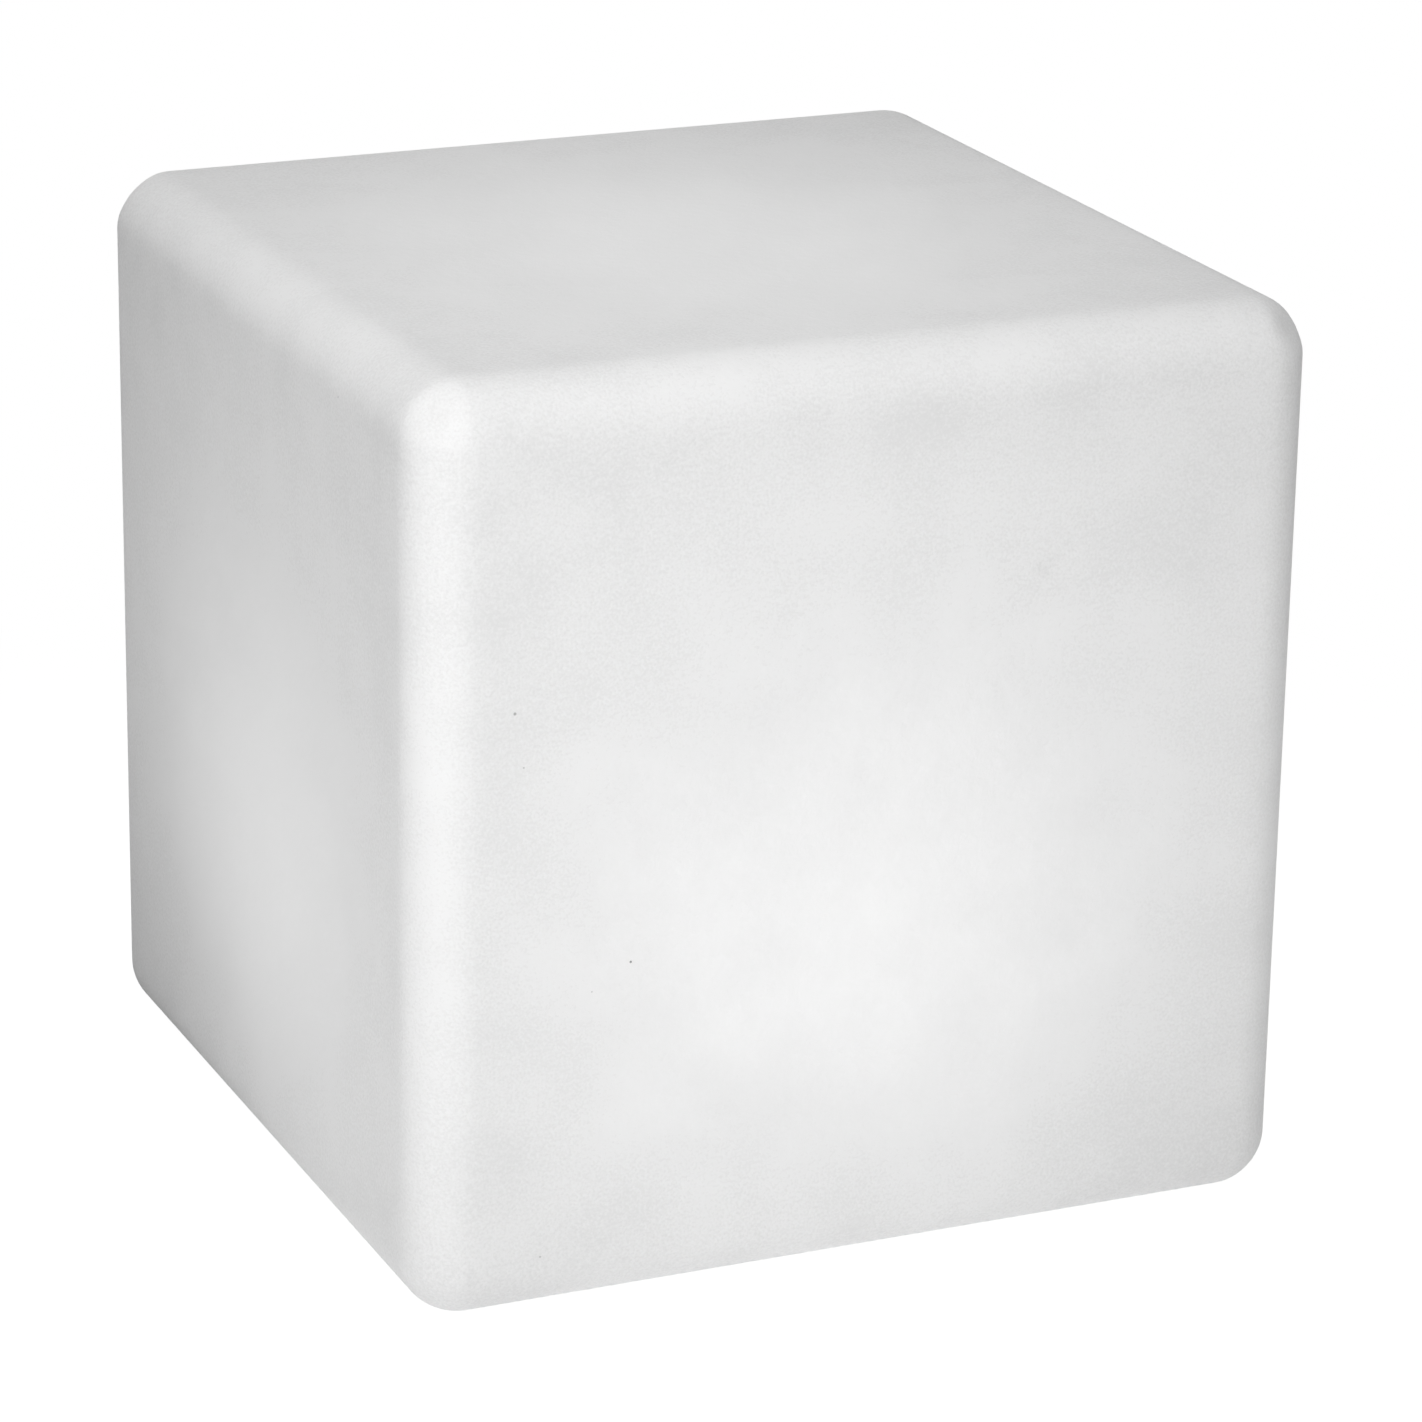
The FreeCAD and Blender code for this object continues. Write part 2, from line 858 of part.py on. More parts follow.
def pod_housing():
    bite = pod_floor / 2
    body = rounded(
        cylinder(pod_flange_radius, pod_bottom, floor_top),
        pod_seal_rim / 2,
        lambda edge: is_level(edge, pod_bottom),
    )
    wall = cylinder(pod_outer_radius, floor_top - bite, rim_top)
    body = join(body, wall).cut(cylinder(pod_inner_radius, floor_top, rim_top))
    lug = sector(
        pod_outer_radius - pod_wall / 2,
        lug_radius,
        lug_bottom,
        lug_top,
        -lug_angle / 2,
        lug_angle / 2,
    )
    pillar = cylinder(pillar_radius, floor_top - bite, board_bottom)
    column = cylinder(column_radius, floor_top - bite, clamp_bottom)
    post = cylinder(switch_post_radius, floor_top - bite, switch_board_bottom)
    socket_boss = cylinder(
        socket_boss_radius, floor_top - bite, socket_flange_bottom, 0, socket_y
    )
    body = join(
        body,
        socket_boss,
        *around(lug, lug_count),
        *at_pillars(pillar),
        *at_columns(column),
        *at_switch_posts(post),
    )
    screw_bore = small_screw_radius + thread_gap
    switch_bore = switch_screw_radius + thread_gap
    stud_bottom = board_top - standoff_stud_length - thread_run_out
    clamp_bore_bottom = clamp_top - clamp_screw_length - thread_run_out
    grip_head_bore = cylinder(
        small_screw_head_radius + grip_head_gap, floor_top - grip_head_depth, floor_top
    )
    cuts = [
        grip_stadium(grip_seat_gap, pod_bottom, pod_bottom + grip_seat_depth + grip_seat_gap),
        *at_grip_screws(cylinder(small_screw_radius + screw_hole_gap, pod_bottom, floor_top)),
        *at_grip_screws(grip_head_bore),
        pointer_mark(),
        ring(pod_seal_outer, pod_seal_inner, floor_top - pod_seal_groove, floor_top),
        cylinder(
            socket_recess_radius, pod_bottom, pod_bottom + socket_recess_depth, 0, socket_y
        ),
        cylinder(
            socket_barrel_radius + thread_gap, pod_bottom, socket_flange_bottom, 0, socket_y
        ),
        cylinder(button_hole_radius, pod_bottom, floor_top, button_x, button_y),
        cylinder(indicator_radius + thread_gap, pod_bottom, floor_top, indicator_x, button_y),
        cylinder(anchor_stud_radius + thread_gap, pod_bottom, floor_top, anchor_x, socket_y),
        *at_pillars(cylinder(screw_bore, stud_bottom, board_bottom)),
        *at_columns(cylinder(screw_bore, clamp_bore_bottom, clamp_bottom)),
        *at_switch_posts(
            cylinder(switch_bore, floor_top + thread_gap, switch_board_bottom)
        ),
    ]
    return body.cut(cuts)


def pod_seal():
    bottom = floor_top - pod_seal_groove
    return ring(pod_seal_outer, pod_seal_inner, bottom, ring_bottom - pod_seal_gap)


# ---------------------------------------------------------------- cells, cradle and clamp
def cell_rows():
    return [
        cell_row_y + (i - (cell_count - 1) / 2) * cell_pitch for i in range(cell_count)
    ]


def battery_cells():
    cells = []
    half = cell_length / 2
    for i, y in enumerate(cell_rows()):
        can = rod_along_x(cell_radius, -half, half - cell_button_height, y, cell_z)
        can = can.makeFillet(cell_edge_radius, can.Edges[0::2])
        nub = rod_along_x(cell_button_radius, half - cell_button_height, half, y, cell_z)
        cells.append(join(can, nub))
    return cells


def battery_cradle():
    half = cell_length / 2 + tab_thickness + cradle_end_gap
    tray = centred_block(
        0, cell_row_y, 2 * cradle_half_length, 2 * cradle_half_width, floor_top, cell_z
    )
    saddles = [
        rod_along_x(cell_radius + cell_saddle_gap, -half, half, y, cell_z)
        for y in cell_rows()
    ]
    end_pockets = [
        centred_block(
            x,
            cell_row_y,
            2 * (tab_thickness + cradle_end_gap),
            2 * tab_strip_half_width() + 2 * cradle_end_gap,
            cell_z - tab_width / 2 - cradle_end_gap,
            cell_z,
        )
        for x in (-cell_length / 2, cell_length / 2)
    ]
    return tray.cut(saddles + end_pockets)


def tab_strip_half_width():
    return cell_pitch / 2 + cell_button_radius


def battery_tabs():
    """A strip across the cells at each end, with a riser bent in over the protection board."""
    tabs = []
    inner = cell_length / 2
    outer = inner + tab_thickness
    strip_half = tab_strip_half_width()
    riser_half = tab_riser_width / 2
    lap_top = protection_top + tab_thickness
    for direction in (-1, 1):
        near, far = sorted((direction * inner, direction * outer))
        lap_near, lap_far = sorted((direction * (inner - tab_lap), direction * outer))
        tabs.append(
            join(
                block(
                    near,
                    far,
                    cell_row_y - strip_half,
                    cell_row_y + strip_half,
                    cell_z - tab_width / 2,
                    cell_z + tab_width / 2,
                ),
                block(
                    near, far, cell_row_y - riser_half, cell_row_y + riser_half, cell_z, lap_top
                ),
                block(
                    lap_near,
                    lap_far,
                    cell_row_y - riser_half,
                    cell_row_y + riser_half,
                    protection_top,
                    lap_top,
                ),
            )
        )
    return tabs


def battery_clamp():
    half_width = cell_pitch / 2 + clamp_overhang
    body_half = cell_length / 2 - 2 * column_radius
    ear_half = column_x + column_radius
    plate = join(
        block(
            -body_half,
            body_half,
            cell_row_y - half_width,
            cell_row_y + half_width,
            clamp_bottom,
            clamp_top,
        ),
        centred_block(
            0, cell_row_y, 2 * ear_half, clamp_ear_width, clamp_bottom, clamp_top
        ),
    )
    slot_width = tab_riser_width + 2 * clamp_slot_gap
    slot_length = tab_thickness + 2 * clamp_slot_gap
    tab_x = cell_length / 2 + tab_thickness / 2
    slots = [
        centred_block(x, cell_row_y, slot_length, slot_width, clamp_bottom, clamp_top)
        for x in (-tab_x, tab_x)
    ]
    hole = cylinder(small_screw_radius + screw_hole_gap, clamp_bottom, clamp_top)
    return plate.cut(slots).cut(at_columns(hole))


def small_screw(length, seat):
    screw = pan_screw(
        small_screw_radius, small_screw_head_radius, small_screw_head_height, length
    )
    return moved(screw, 0, 0, seat)


def protection_board():
    return centred_block(
        0, cell_row_y, protection_length, protection_width, clamp_top, protection_top
    )


def protection_chips():
    """Two transistors and a controller in a row, and the block that each lead starts from."""
    low = protection_top
    high = protection_top + protection_chip_height
    chip_x = (
        battery_lead_x + power_lead_radius + protection_chip_gap + protection_chip_length / 2
    )
    row_y = cell_row_y - protection_row_offset
    chips = [
        centred_block(x, row_y, length, protection_chip_width, low, high)
        for x, length in (
            (-chip_x, protection_chip_length),
            (0.0, controller_length),
            (chip_x, protection_chip_length),
        )
    ]
    pads = [
        block(
            x - power_lead_radius,
            x + power_lead_radius,
            battery_lead_start - lead_pad_length,
            battery_lead_start,
            low,
            high,
        )
        for x in (-battery_lead_x, battery_lead_x)
    ]
    return chips + pads


# ---------------------------------------------------------------- control board
def cable_window(y):
    half = battery_lead_x + window_margin
    return centred_block(0, y, 2 * half, window_depth, board_bottom, board_top)


def control_board():
    disc = cylinder(board_radius, board_bottom, board_top)
    hole = cylinder(small_screw_radius + screw_hole_gap, board_bottom, board_top)
    windows = [cable_window(socket_y), cable_window(button_y)]
    return disc.cut(windows).cut(at_pillars(hole))


def capacitor_x():
    return -(board_radius - board_edge_margin - capacitor_radius)


def inductor_x():
    return board_radius - board_edge_margin - inductor_size / 2


def on_board(x, y, length, width, height):
    return centred_block(x, y, length, width, board_top, board_top + height)


def control_chips():
    """Radio and lamp driver, charger, converter and two small regulators, on the board."""
    driver_x = capacitor_x() + capacitor_radius + board_part_gap + driver_chip_size / 2
    inner_side = inductor_x() - inductor_size / 2 - board_part_gap
    charger_x = inner_side - charger_chip_length / 2
    converter_x = inner_side - converter_chip_length / 2
    regulators = [
        on_board(x, front_row_y, small_chip_size, small_chip_size, small_chip_height)
        for x in (-small_chip_pitch, -2 * small_chip_pitch)
    ]
    return [
        on_board(driver_x, back_row_y, driver_chip_size, driver_chip_size, driver_chip_height),
        on_board(
            charger_x, back_row_y, charger_chip_length, charger_chip_width, charger_chip_height
        ),
        on_board(
            converter_x,
            front_row_y,
            converter_chip_length,
            converter_chip_width,
            converter_chip_height,
        ),
        *regulators,
    ]


def control_capacitors():
    top = board_top + capacitor_height
    cans = []
    for y in (-capacitor_pitch / 2, capacitor_pitch / 2):
        can = cylinder(capacitor_radius, board_top, top, capacitor_x(), y)
        cans.append(rounded(can, capacitor_edge_radius, lambda edge: is_level(edge, top)))
    return cans


def control_inductor():
    body = on_board(inductor_x(), 0.0, inductor_size, inductor_size, inductor_height)
    upright = [edge for edge in body.Edges if edge.BoundBox.ZLength > inductor_height / 2]
    return body.makeFillet(inductor_corner_radius, upright)


def board_connectors():
    top = board_top + connector_height
    power_half = battery_lead_x + window_margin
    switch_half = 2 * signal_lead_pitch + connector_margin
    led_half = led_lead_count * led_lead_pitch / 2 + connector_margin
    power = block(
        -power_half,
        power_half,
        power_connector_y - connector_depth,
        power_connector_y,
        board_top,
        top,
    )
    switch = block(
        -switch_half,
        switch_half,
        switch_connector_y,
        switch_connector_y + connector_depth,
        board_top,
        top,
    )
    lamp = block(
        -led_half,
        led_half,
        led_slot_y - led_slot_width / 2,
        led_slot_y + led_slot_width / 2,
        board_top,
        board_top + connector_height / 2,
    )
    return [power, switch, lamp]


def standoff():
    """A hexagonal pillar with a stud below and a threaded bore above."""
    corner = standoff_flats / math.sqrt(3)
    corners = [point(*polar(corner, 60.0 * i), board_top) for i in range(6)]
    hexagon = Part.Face(Part.makePolygon(corners + corners[:1]))
    body = hexagon.extrude(point(0, 0, standoff_length))
    stud = cylinder(small_screw_radius, board_top - standoff_stud_length, board_top)
    bore_bottom = dome_flange_top - dome_screw_length - thread_run_out
    bore = cylinder(small_screw_radius + thread_gap, bore_bottom, spreader_bottom)
    return join(body, stud).cut(bore)


# ---------------------------------------------------------------- light engine
def led_slot(bottom, top):
    return centred_block(0, led_slot_y, led_slot_length, led_slot_width, bottom, top)


def at_led_screws(shape):
    return around(moved(shape, led_screw_circle, 0, 0), led_screw_count, led_screw_angle)


def heat_spreader():
    disc = cylinder(board_radius, spreader_bottom, rim_top)
    hole = cylinder(small_screw_radius + screw_hole_gap, spreader_bottom, rim_top)
    threads = cylinder(switch_screw_radius + thread_gap, spreader_bottom, rim_top)
    disc = disc.cut(led_slot(spreader_bottom, rim_top))
    return disc.cut(at_pillars(hole)).cut(at_led_screws(threads))


def led_board():
    disc = cylinder(led_board_radius, rim_top, led_board_top)
    hole = cylinder(switch_screw_radius + screw_hole_gap, rim_top, led_board_top)
    return disc.cut(led_slot(rim_top, led_board_top)).cut(at_led_screws(hole))


def at_leds(shape):
    """Copies of a shape on two rings, half a step from the screws that hold the board."""
    outer = moved(shape, led_outer_ring_radius, 0, 0)
    inner = moved(shape, led_inner_ring_radius, 0, 0)
    outer_start = led_screw_angle + 180.0 / led_outer_count
    inner_start = led_screw_angle + 180.0 / led_inner_count
    outer_leds = around(outer, led_outer_count, outer_start)
    return outer_leds + around(inner, led_inner_count, inner_start)


def led_window():
    top = led_board_top + led_height
    return cylinder(led_window_radius, top - led_window_depth, top)


def led_package():
    top = led_board_top + led_height
    return centred_block(0, 0, led_size, led_size, led_board_top, top).cut(led_window())


def led_board_screws():
    screw = pan_screw(
        switch_screw_radius, switch_screw_head_radius, switch_screw_head_height, led_screw_length
    )
    return at_led_screws(moved(screw, 0, 0, led_board_top))


def remote_receiver():
    """A small black block with a round lens on its back, standing at the middle of the board."""
    half = receiver_width / 2
    top = led_board_top + receiver_height
    body = centred_block(0, 0, receiver_width, half, led_board_top, top)
    lens = Part.makeSphere(receiver_lens_radius, point(0, half / 2, top - half))
    return join(body, lens)


def dome():
    """A frosted spherical cap on a flat flange."""
    outer = (dome_base_radius**2 + dome_rise**2) / (2 * dome_rise)
    inner = outer - dome_wall
    centre = (0.0, dome_flange_top + dome_rise - outer)
    outer_start = math.degrees(math.asin((dome_flange_top - centre[1]) / outer))
    inner_start = math.degrees(math.asin((dome_flange_bottom - centre[1]) / inner))
    outer_middle = (outer_start + 90.0) / 2
    inner_middle = (inner_start + 90.0) / 2
    cap = revolve(
        [
            on_circle(centre, inner, inner_start),
            (pod_outer_radius, dome_flange_bottom),
            (pod_outer_radius, dome_flange_top),
            on_circle(centre, outer, outer_start),
            (on_circle(centre, outer, outer_middle), (0, centre[1] + outer)),
            (0, centre[1] + inner),
            (on_circle(centre, inner, inner_middle), on_circle(centre, inner, inner_start)),
        ]
    )
    hole = cylinder(
        small_screw_radius + screw_hole_gap, dome_flange_bottom, dome_flange_top
    )
    return cap.cut(at_pillars(hole))


def dome_seal():
    inner = dome_base_radius - dome_seal_lap
    hole = cylinder(small_screw_radius + screw_hole_gap, rim_top, dome_flange_bottom)
    seal = ring(pod_outer_radius, inner, rim_top, dome_flange_bottom)
    return seal.cut(at_pillars(hole))


# ---------------------------------------------------------------- charging socket
def socket_body():
    """The socket's moulding: a threaded barrel that points down, a flange and a closed back."""
    bore_top = socket_mouth + socket_bore_depth
    back = bore_top + socket_back
    barrel = join(
        cylinder(socket_barrel_radius, socket_mouth, back, 0, socket_y),
        cylinder(
            socket_flange_radius,
            socket_flange_bottom,
            socket_flange_bottom + socket_flange,
            0,
            socket_y,
        ),
    )
    bore = cylinder(socket_bore_radius, socket_mouth, bore_top, 0, socket_y)
    rivet = cylinder(socket_rivet_radius, bore_top, back, 0, socket_y)
    return barrel.cut(bore).cut(rivet)


def socket_pin():
    tip = socket_mouth + socket_pin_recess
    bore_top = socket_mouth + socket_bore_depth
    back = bore_top + socket_back
    pin = join(
        cylinder(socket_pin_radius, tip, bore_top, 0, socket_y),
        cylinder(socket_rivet_radius, bore_top, back, 0, socket_y),
    )
    return rounded(pin, socket_pin_edge_radius, lambda edge: is_level(edge, tip))


def socket_nut():
    """A thin hexagonal nut with its corners turned down to a circle."""
    top = pod_bottom + socket_recess_depth
    bottom = top - socket_nut_height
    corner = socket_nut_radius * socket_nut_corner_share
    corners = [point(*polar(corner, 60.0 * i), bottom) for i in range(6)]
    hexagon = Part.Face(Part.makePolygon(corners + corners[:1]))
    prism = hexagon.extrude(point(0, 0, socket_nut_height))
    nut = prism.common(cylinder(socket_nut_radius, bottom, top))
    bore = cylinder(socket_barrel_radius + thread_gap, bottom, top)
    return moved(nut.cut(bore), 0, socket_y, 0)


def socket_terminals():
    bottom = socket_mouth + socket_bore_depth + socket_back
    return [
        centred_block(
            x, socket_y, terminal_width, terminal_thickness, bottom, bottom + terminal_length
        )
        for x in (-terminal_pitch / 2, terminal_pitch / 2)
    ]


# ---------------------------------------------------------------- port cover
def knuckle(radius):
    half = cover_strap_width / 2
    return rod_along_y(
        radius, cover_hinge_x, socket_y - half, socket_y + half, cover_hinge_z
    )


def strap(x0, x1):
    half = cover_strap_thickness / 2
    return centred_block(
        (x0 + x1) / 2,
        socket_y,
        x1 - x0,
        cover_strap_width,
        cover_hinge_z - half,
        cover_hinge_z + half,
    )


def port_cover():
    """A rubber disc with a tapered plug, on a short strap that bends at the knuckle."""
    top = pod_bottom - cover_gap
    plug_radius = socket_recess_radius - cover_plug_gap
    bottom = top - cover_thickness
    disc = cylinder(cover_radius, bottom, top, 0, socket_y)
    disc = rounded(disc, cover_edge_radius, lambda edge: is_level(edge, bottom))
    plug = cone(
        plug_radius,
        plug_radius - cover_plug_taper,
        top,
        pod_bottom + cover_plug_depth,
        0,
        socket_y,
    )
    pull_tab = block(
        -cover_radius - cover_pull_reach,
        -cover_radius / 2,
        socket_y - cover_strap_width / 2,
        socket_y + cover_strap_width / 2,
        bottom,
        top,
    )
    return join(
        disc, plug, pull_tab, strap(cover_radius / 2, cover_hinge_x), knuckle(cover_knuckle_radius)
    )


def port_cover_anchor():
    """The fixed end of the strap: a disc under the pod with a barbed stud through its floor."""
    bottom = cover_hinge_z - cover_strap_thickness / 2
    disc = cylinder(anchor_radius, bottom, pod_bottom, anchor_x, socket_y)
    stud = cylinder(anchor_stud_radius, pod_bottom, floor_top, anchor_x, socket_y)
    barb = cone(
        anchor_barb_radius,
        anchor_stud_radius,
        floor_top,
        floor_top + anchor_barb_height,
        anchor_x,
        socket_y,
    )
    body = join(disc, stud, barb, strap(cover_hinge_x, anchor_x))
    relief = block(
        cover_hinge_x,
        cover_hinge_x + cover_knuckle_relief,
        socket_y - cover_strap_width,
        socket_y + cover_strap_width,
        bottom - cut_overrun,
        cover_hinge_z,
    )
    return body.cut(knuckle(cover_knuckle_radius + cover_knuckle_gap)).cut(relief)


# ---------------------------------------------------------------- power button and indicator
def button_levels():
    """Heights of the cap's face, the underside of its flange, the flange's top and the nub."""
    face = pod_bottom - button_proud
    flange_bottom = floor_top + button_rest_gap
    flange_top = flange_bottom + button_flange
    nub_top = switch_board_bottom - tact_height - tact_plunger - button_travel - button_stop_gap
    return face, flange_bottom, flange_top, nub_top


def seal_groove_level():
    return pod_bottom + pod_floor / 2


def button_seal():
    seal_circle = button_hole_radius - button_seal_bite / 2 - button_seal_radius
    centre = point(button_x, button_y, seal_groove_level())
    return Part.makeTorus(seal_circle, button_seal_radius, centre, UP)


def power_button():
    face, flange_bottom, flange_top, nub_top = button_levels()
    cap = cylinder(button_radius, face, flange_top)
    cap = rounded(cap, button_edge_radius, lambda edge: is_level(edge, face))
    dish_centre = point(0, 0, face + button_dish_depth - button_dish_radius)
    dish = Part.makeSphere(button_dish_radius, dish_centre)
    flange = cylinder(button_radius + button_flange_reach, flange_bottom, flange_top)
    nub = cylinder(button_nub_radius, flange_top - button_flange / 2, nub_top)
    level = seal_groove_level()
    seal_inner = button_hole_radius - button_seal_bite / 2 - 2 * button_seal_radius
    groove = ring(
        button_radius + cut_overrun,
        seal_inner,
        level - button_seal_radius - thread_gap,
        level + button_seal_radius + thread_gap,
    )
    cap = join(cap, flange, nub).cut(dish).cut(groove)
    return moved(cap, button_x, button_y, 0)


def button_spring():
    """Turns of wire between the cap and the switch board. Half turns are arcs that tilt, so
    each meets the next with the same direction, and the last turn at each end lies flat."""
    height = button_levels()[2] + spring_wire + button_rest_gap
    top = switch_board_bottom - spring_wire - button_rest_gap
    rise = (top - height) / (2 * (spring_turns - 2))
    last = 2 * spring_turns - 1
    edges = []
    for i in range(last + 1):
        step = rise if 2 <= i <= last - 2 else 0.0
        start = 180.0 * i + (spring_end_gap if i == 0 else 0.0)
        end = 180.0 * (i + 1) - (spring_end_gap if i == last else 0.0)
        arc = Part.Arc(
            point(*polar(spring_radius, start), height),
            point(*polar(spring_radius, 180.0 * i + 90.0), height + step / 2),
            point(*polar(spring_radius, end), height + step),
        )
        edges.append(arc.toShape())
        height += step
    path = Part.Wire(edges)
    first = edges[0]
    heading = first.tangentAt(first.FirstParameter)
    section = Part.Wire([Part.makeCircle(spring_wire, first.Vertexes[0].Point, heading)])
    coil = path.makePipeShell([section], True, False)
    return moved(coil, button_x, button_y, 0)


def tact_switch():
    """A small square switch on the underside of its board, with a round plunger."""
    bottom = switch_board_bottom - tact_height
    return centred_block(
        button_x, button_y, tact_size, tact_size, bottom, switch_board_bottom
    )


def tact_plunger_pin():
    top = switch_board_bottom - tact_height
    return cylinder(tact_plunger_radius, top - tact_plunger, top, button_x, button_y)


def switch_board():
    board = centred_block(
        0,
        button_y,
        switch_board_length,
        switch_board_width,
        switch_board_bottom,
        switch_board_top,
    )
    hole = cylinder(
        switch_screw_radius + screw_hole_gap, switch_board_bottom, switch_board_top
    )
    return board.cut(at_switch_posts(hole))


def switch_board_screws():
    screw = pan_screw(
        switch_screw_radius,
        switch_screw_head_radius,
        switch_screw_head_height,
        switch_screw_length,
    )
    return at_switch_posts(moved(screw, 0, 0, switch_board_top))


def indicator_lamp():
    low = switch_board_bottom - indicator_lamp_height
    stem = cylinder(
        indicator_lamp_radius,
        low + indicator_lamp_radius,
        switch_board_bottom,
        indicator_x,
        button_y,
    )
    centre = point(indicator_x, button_y, low + indicator_lamp_radius)
    return join(stem, Part.makeSphere(indicator_lamp_radius, centre))


def indicator_lens():
    return join(
        cylinder(indicator_radius, pod_bottom, floor_top, indicator_x, button_y),
        cylinder(
            indicator_flange_radius,
            floor_top,
            floor_top + indicator_flange,
            indicator_x,
            button_y,
        ),
    )


# ---------------------------------------------------------------- leads
def battery_lead(x, name):
    """From the protection board north, up through the window and back into the connector."""
    route = [
        (x, battery_lead_start, battery_lead_z),
        (x, socket_y, battery_lead_z),
        (x, socket_y, lead_height),
        (x, power_connector_y, lead_height),
    ]
    return tube(route, power_lead_radius, name)


def socket_leads():
    bottom = socket_mouth + socket_bore_depth + socket_back + terminal_length
    return [
        tube(
            [
                (x, socket_y, bottom),
                (x, socket_y, lead_height),
                (x, power_connector_y, lead_height),
            ],
            power_lead_radius,
            "socket lead",
        )
        for x in (-terminal_pitch / 2, terminal_pitch / 2)
    ]


def switch_leads():
    """Three leads from the switch board, straight up through their window and back inwards."""
    return [
        tube(
            [
                (x, button_y, switch_board_top),
                (x, button_y, lead_height),
                (x, switch_connector_y, lead_height),
            ],
            signal_lead_radius,
            "switch lead",
        )
        for x in (-signal_lead_pitch, 0.0, signal_lead_pitch)
    ]


def led_leads():
    """From the upright connector through the slots, and over onto the pads of the LED board."""
    top = led_board_top + signal_lead_radius + led_lead_lift
    pad_y = led_slot_y + led_slot_width / 2 + led_lead_lap
    first = -(led_lead_count - 1) / 2 * led_lead_pitch
    return [
        tube(
            [
                (first + i * led_lead_pitch, led_slot_y, board_top + connector_height / 2),
                (first + i * led_lead_pitch, led_slot_y, top),
                (first + i * led_lead_pitch, pad_y, top),
            ],
            signal_lead_radius,
            "LED lead",
        )
        for i in range(led_lead_count)
    ]


# ---------------------------------------------------------------- all the pieces
def main():
    os.makedirs("parts", exist_ok=True)

    save("cube_shell", cube_shell())
    save("ring_inserts", *at_ring_screws(
        brass_insert(insert_radius, ring_screw_radius + thread_gap, well_roof)
    ))
    save("foot_inserts", *at_feet(
        brass_insert(foot_insert_radius, foot_stud_radius + thread_gap, foot_seat_top)
    ))
    save("foot_studs", *at_feet(foot_stud()))
    save("rubber_feet", *at_feet(rubber_foot()))
    save("ring_gasket", ring_gasket())
    save("mounting_ring", mounting_ring())
    save("ring_screws", *ring_screws())

    save("pod_housing", pod_housing())
    save("grip_bar", grip_bar())
    save("grip_screws", *grip_screws())
    save("pod_seal", pod_seal())
    save("battery_cradle", battery_cradle())
    save("battery_cells", *battery_cells())
    save("battery_tabs", *battery_tabs())
    save("battery_clamp", battery_clamp())
    save("clamp_screws", *at_columns(small_screw(clamp_screw_length, clamp_top)))
    save("protection_board", protection_board())
    save("protection_chips", *protection_chips())
    save("control_board", control_board())
    save("control_chips", *control_chips())
    save("control_capacitors", *control_capacitors())
    save("control_inductor", control_inductor())
    save("board_connectors", *board_connectors())
    save("standoffs", *at_pillars(standoff()))

    save("heat_spreader", heat_spreader())
    save("led_board", led_board())
    save("led_packages", *at_leds(led_package()))
    save("led_phosphors", *at_leds(led_window()))
    save("led_board_screws", *led_board_screws())
    save("remote_receiver", remote_receiver())
    save("dome_seal", dome_seal())
    save("dome", dome())
    save("dome_screws", *at_pillars(small_screw(dome_screw_length, dome_flange_top)))

    save("charging_socket", socket_body())
    save("socket_pin", socket_pin())
    save("socket_nut", socket_nut())
    save("socket_terminals", *socket_terminals())
    save("port_cover", port_cover())
    save("port_cover_anchor", port_cover_anchor())

    save("power_button", power_button())
    save("button_seal", button_seal())
    save("button_spring", button_spring())
    save("switch_board", switch_board())
    save("switch_board_screws", *switch_board_screws())
    save("tact_switch", tact_switch())
    save("tact_plunger", tact_plunger_pin())
    save("indicator_lamp", indicator_lamp())
    save("indicator_lens", indicator_lens())

    save("battery_lead_positive", battery_lead(battery_lead_x, "battery lead +"))
    save("battery_lead_negative", battery_lead(-battery_lead_x, "battery lead -"))
    save("socket_leads", *socket_leads())
    save("switch_leads", *switch_leads())
    save("led_leads", *led_leads())


main()
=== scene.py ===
import math

import bmesh
import bpy
from mathutils import Matrix, Vector, noise


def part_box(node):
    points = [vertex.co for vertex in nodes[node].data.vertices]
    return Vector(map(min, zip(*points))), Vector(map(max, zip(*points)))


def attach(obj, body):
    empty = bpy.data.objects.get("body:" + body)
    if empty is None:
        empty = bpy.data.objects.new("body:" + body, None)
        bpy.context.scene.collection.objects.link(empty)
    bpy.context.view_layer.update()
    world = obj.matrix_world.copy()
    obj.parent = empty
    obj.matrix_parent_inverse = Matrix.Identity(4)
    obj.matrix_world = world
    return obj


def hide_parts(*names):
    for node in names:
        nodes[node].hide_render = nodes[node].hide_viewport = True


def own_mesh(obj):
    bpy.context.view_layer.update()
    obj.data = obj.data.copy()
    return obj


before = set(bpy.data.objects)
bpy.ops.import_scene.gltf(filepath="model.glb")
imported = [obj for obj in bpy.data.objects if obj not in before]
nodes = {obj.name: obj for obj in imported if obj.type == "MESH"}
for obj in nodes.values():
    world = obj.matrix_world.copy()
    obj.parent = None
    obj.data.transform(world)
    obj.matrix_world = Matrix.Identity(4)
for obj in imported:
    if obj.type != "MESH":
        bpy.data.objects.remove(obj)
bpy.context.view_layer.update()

# ------------------------------------ the cube's own sizes, in metres
shell_low, shell_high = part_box("cube_shell")
half_side = (shell_high.x - shell_low.x) / 2
shell_middle = (shell_low.z + shell_high.z) / 2
edge_radius = 0.025
flat_half = half_side - edge_radius
flat_cells = 60
fillet_cells = 7
top_corner_blunting = 0.0024
bottom_corner_blunting = 0.0002
face_sink = 0.0004
face_ripple = 0.0001
ripple_length = 0.07
ripple_rise = 6.0  # how soon the ripple reaches its full depth, going in from a face's rim
outline_slack = 2e-5
cad_weld = 1e-6
skin_weld = 2e-6
shell_crease = math.radians(35)

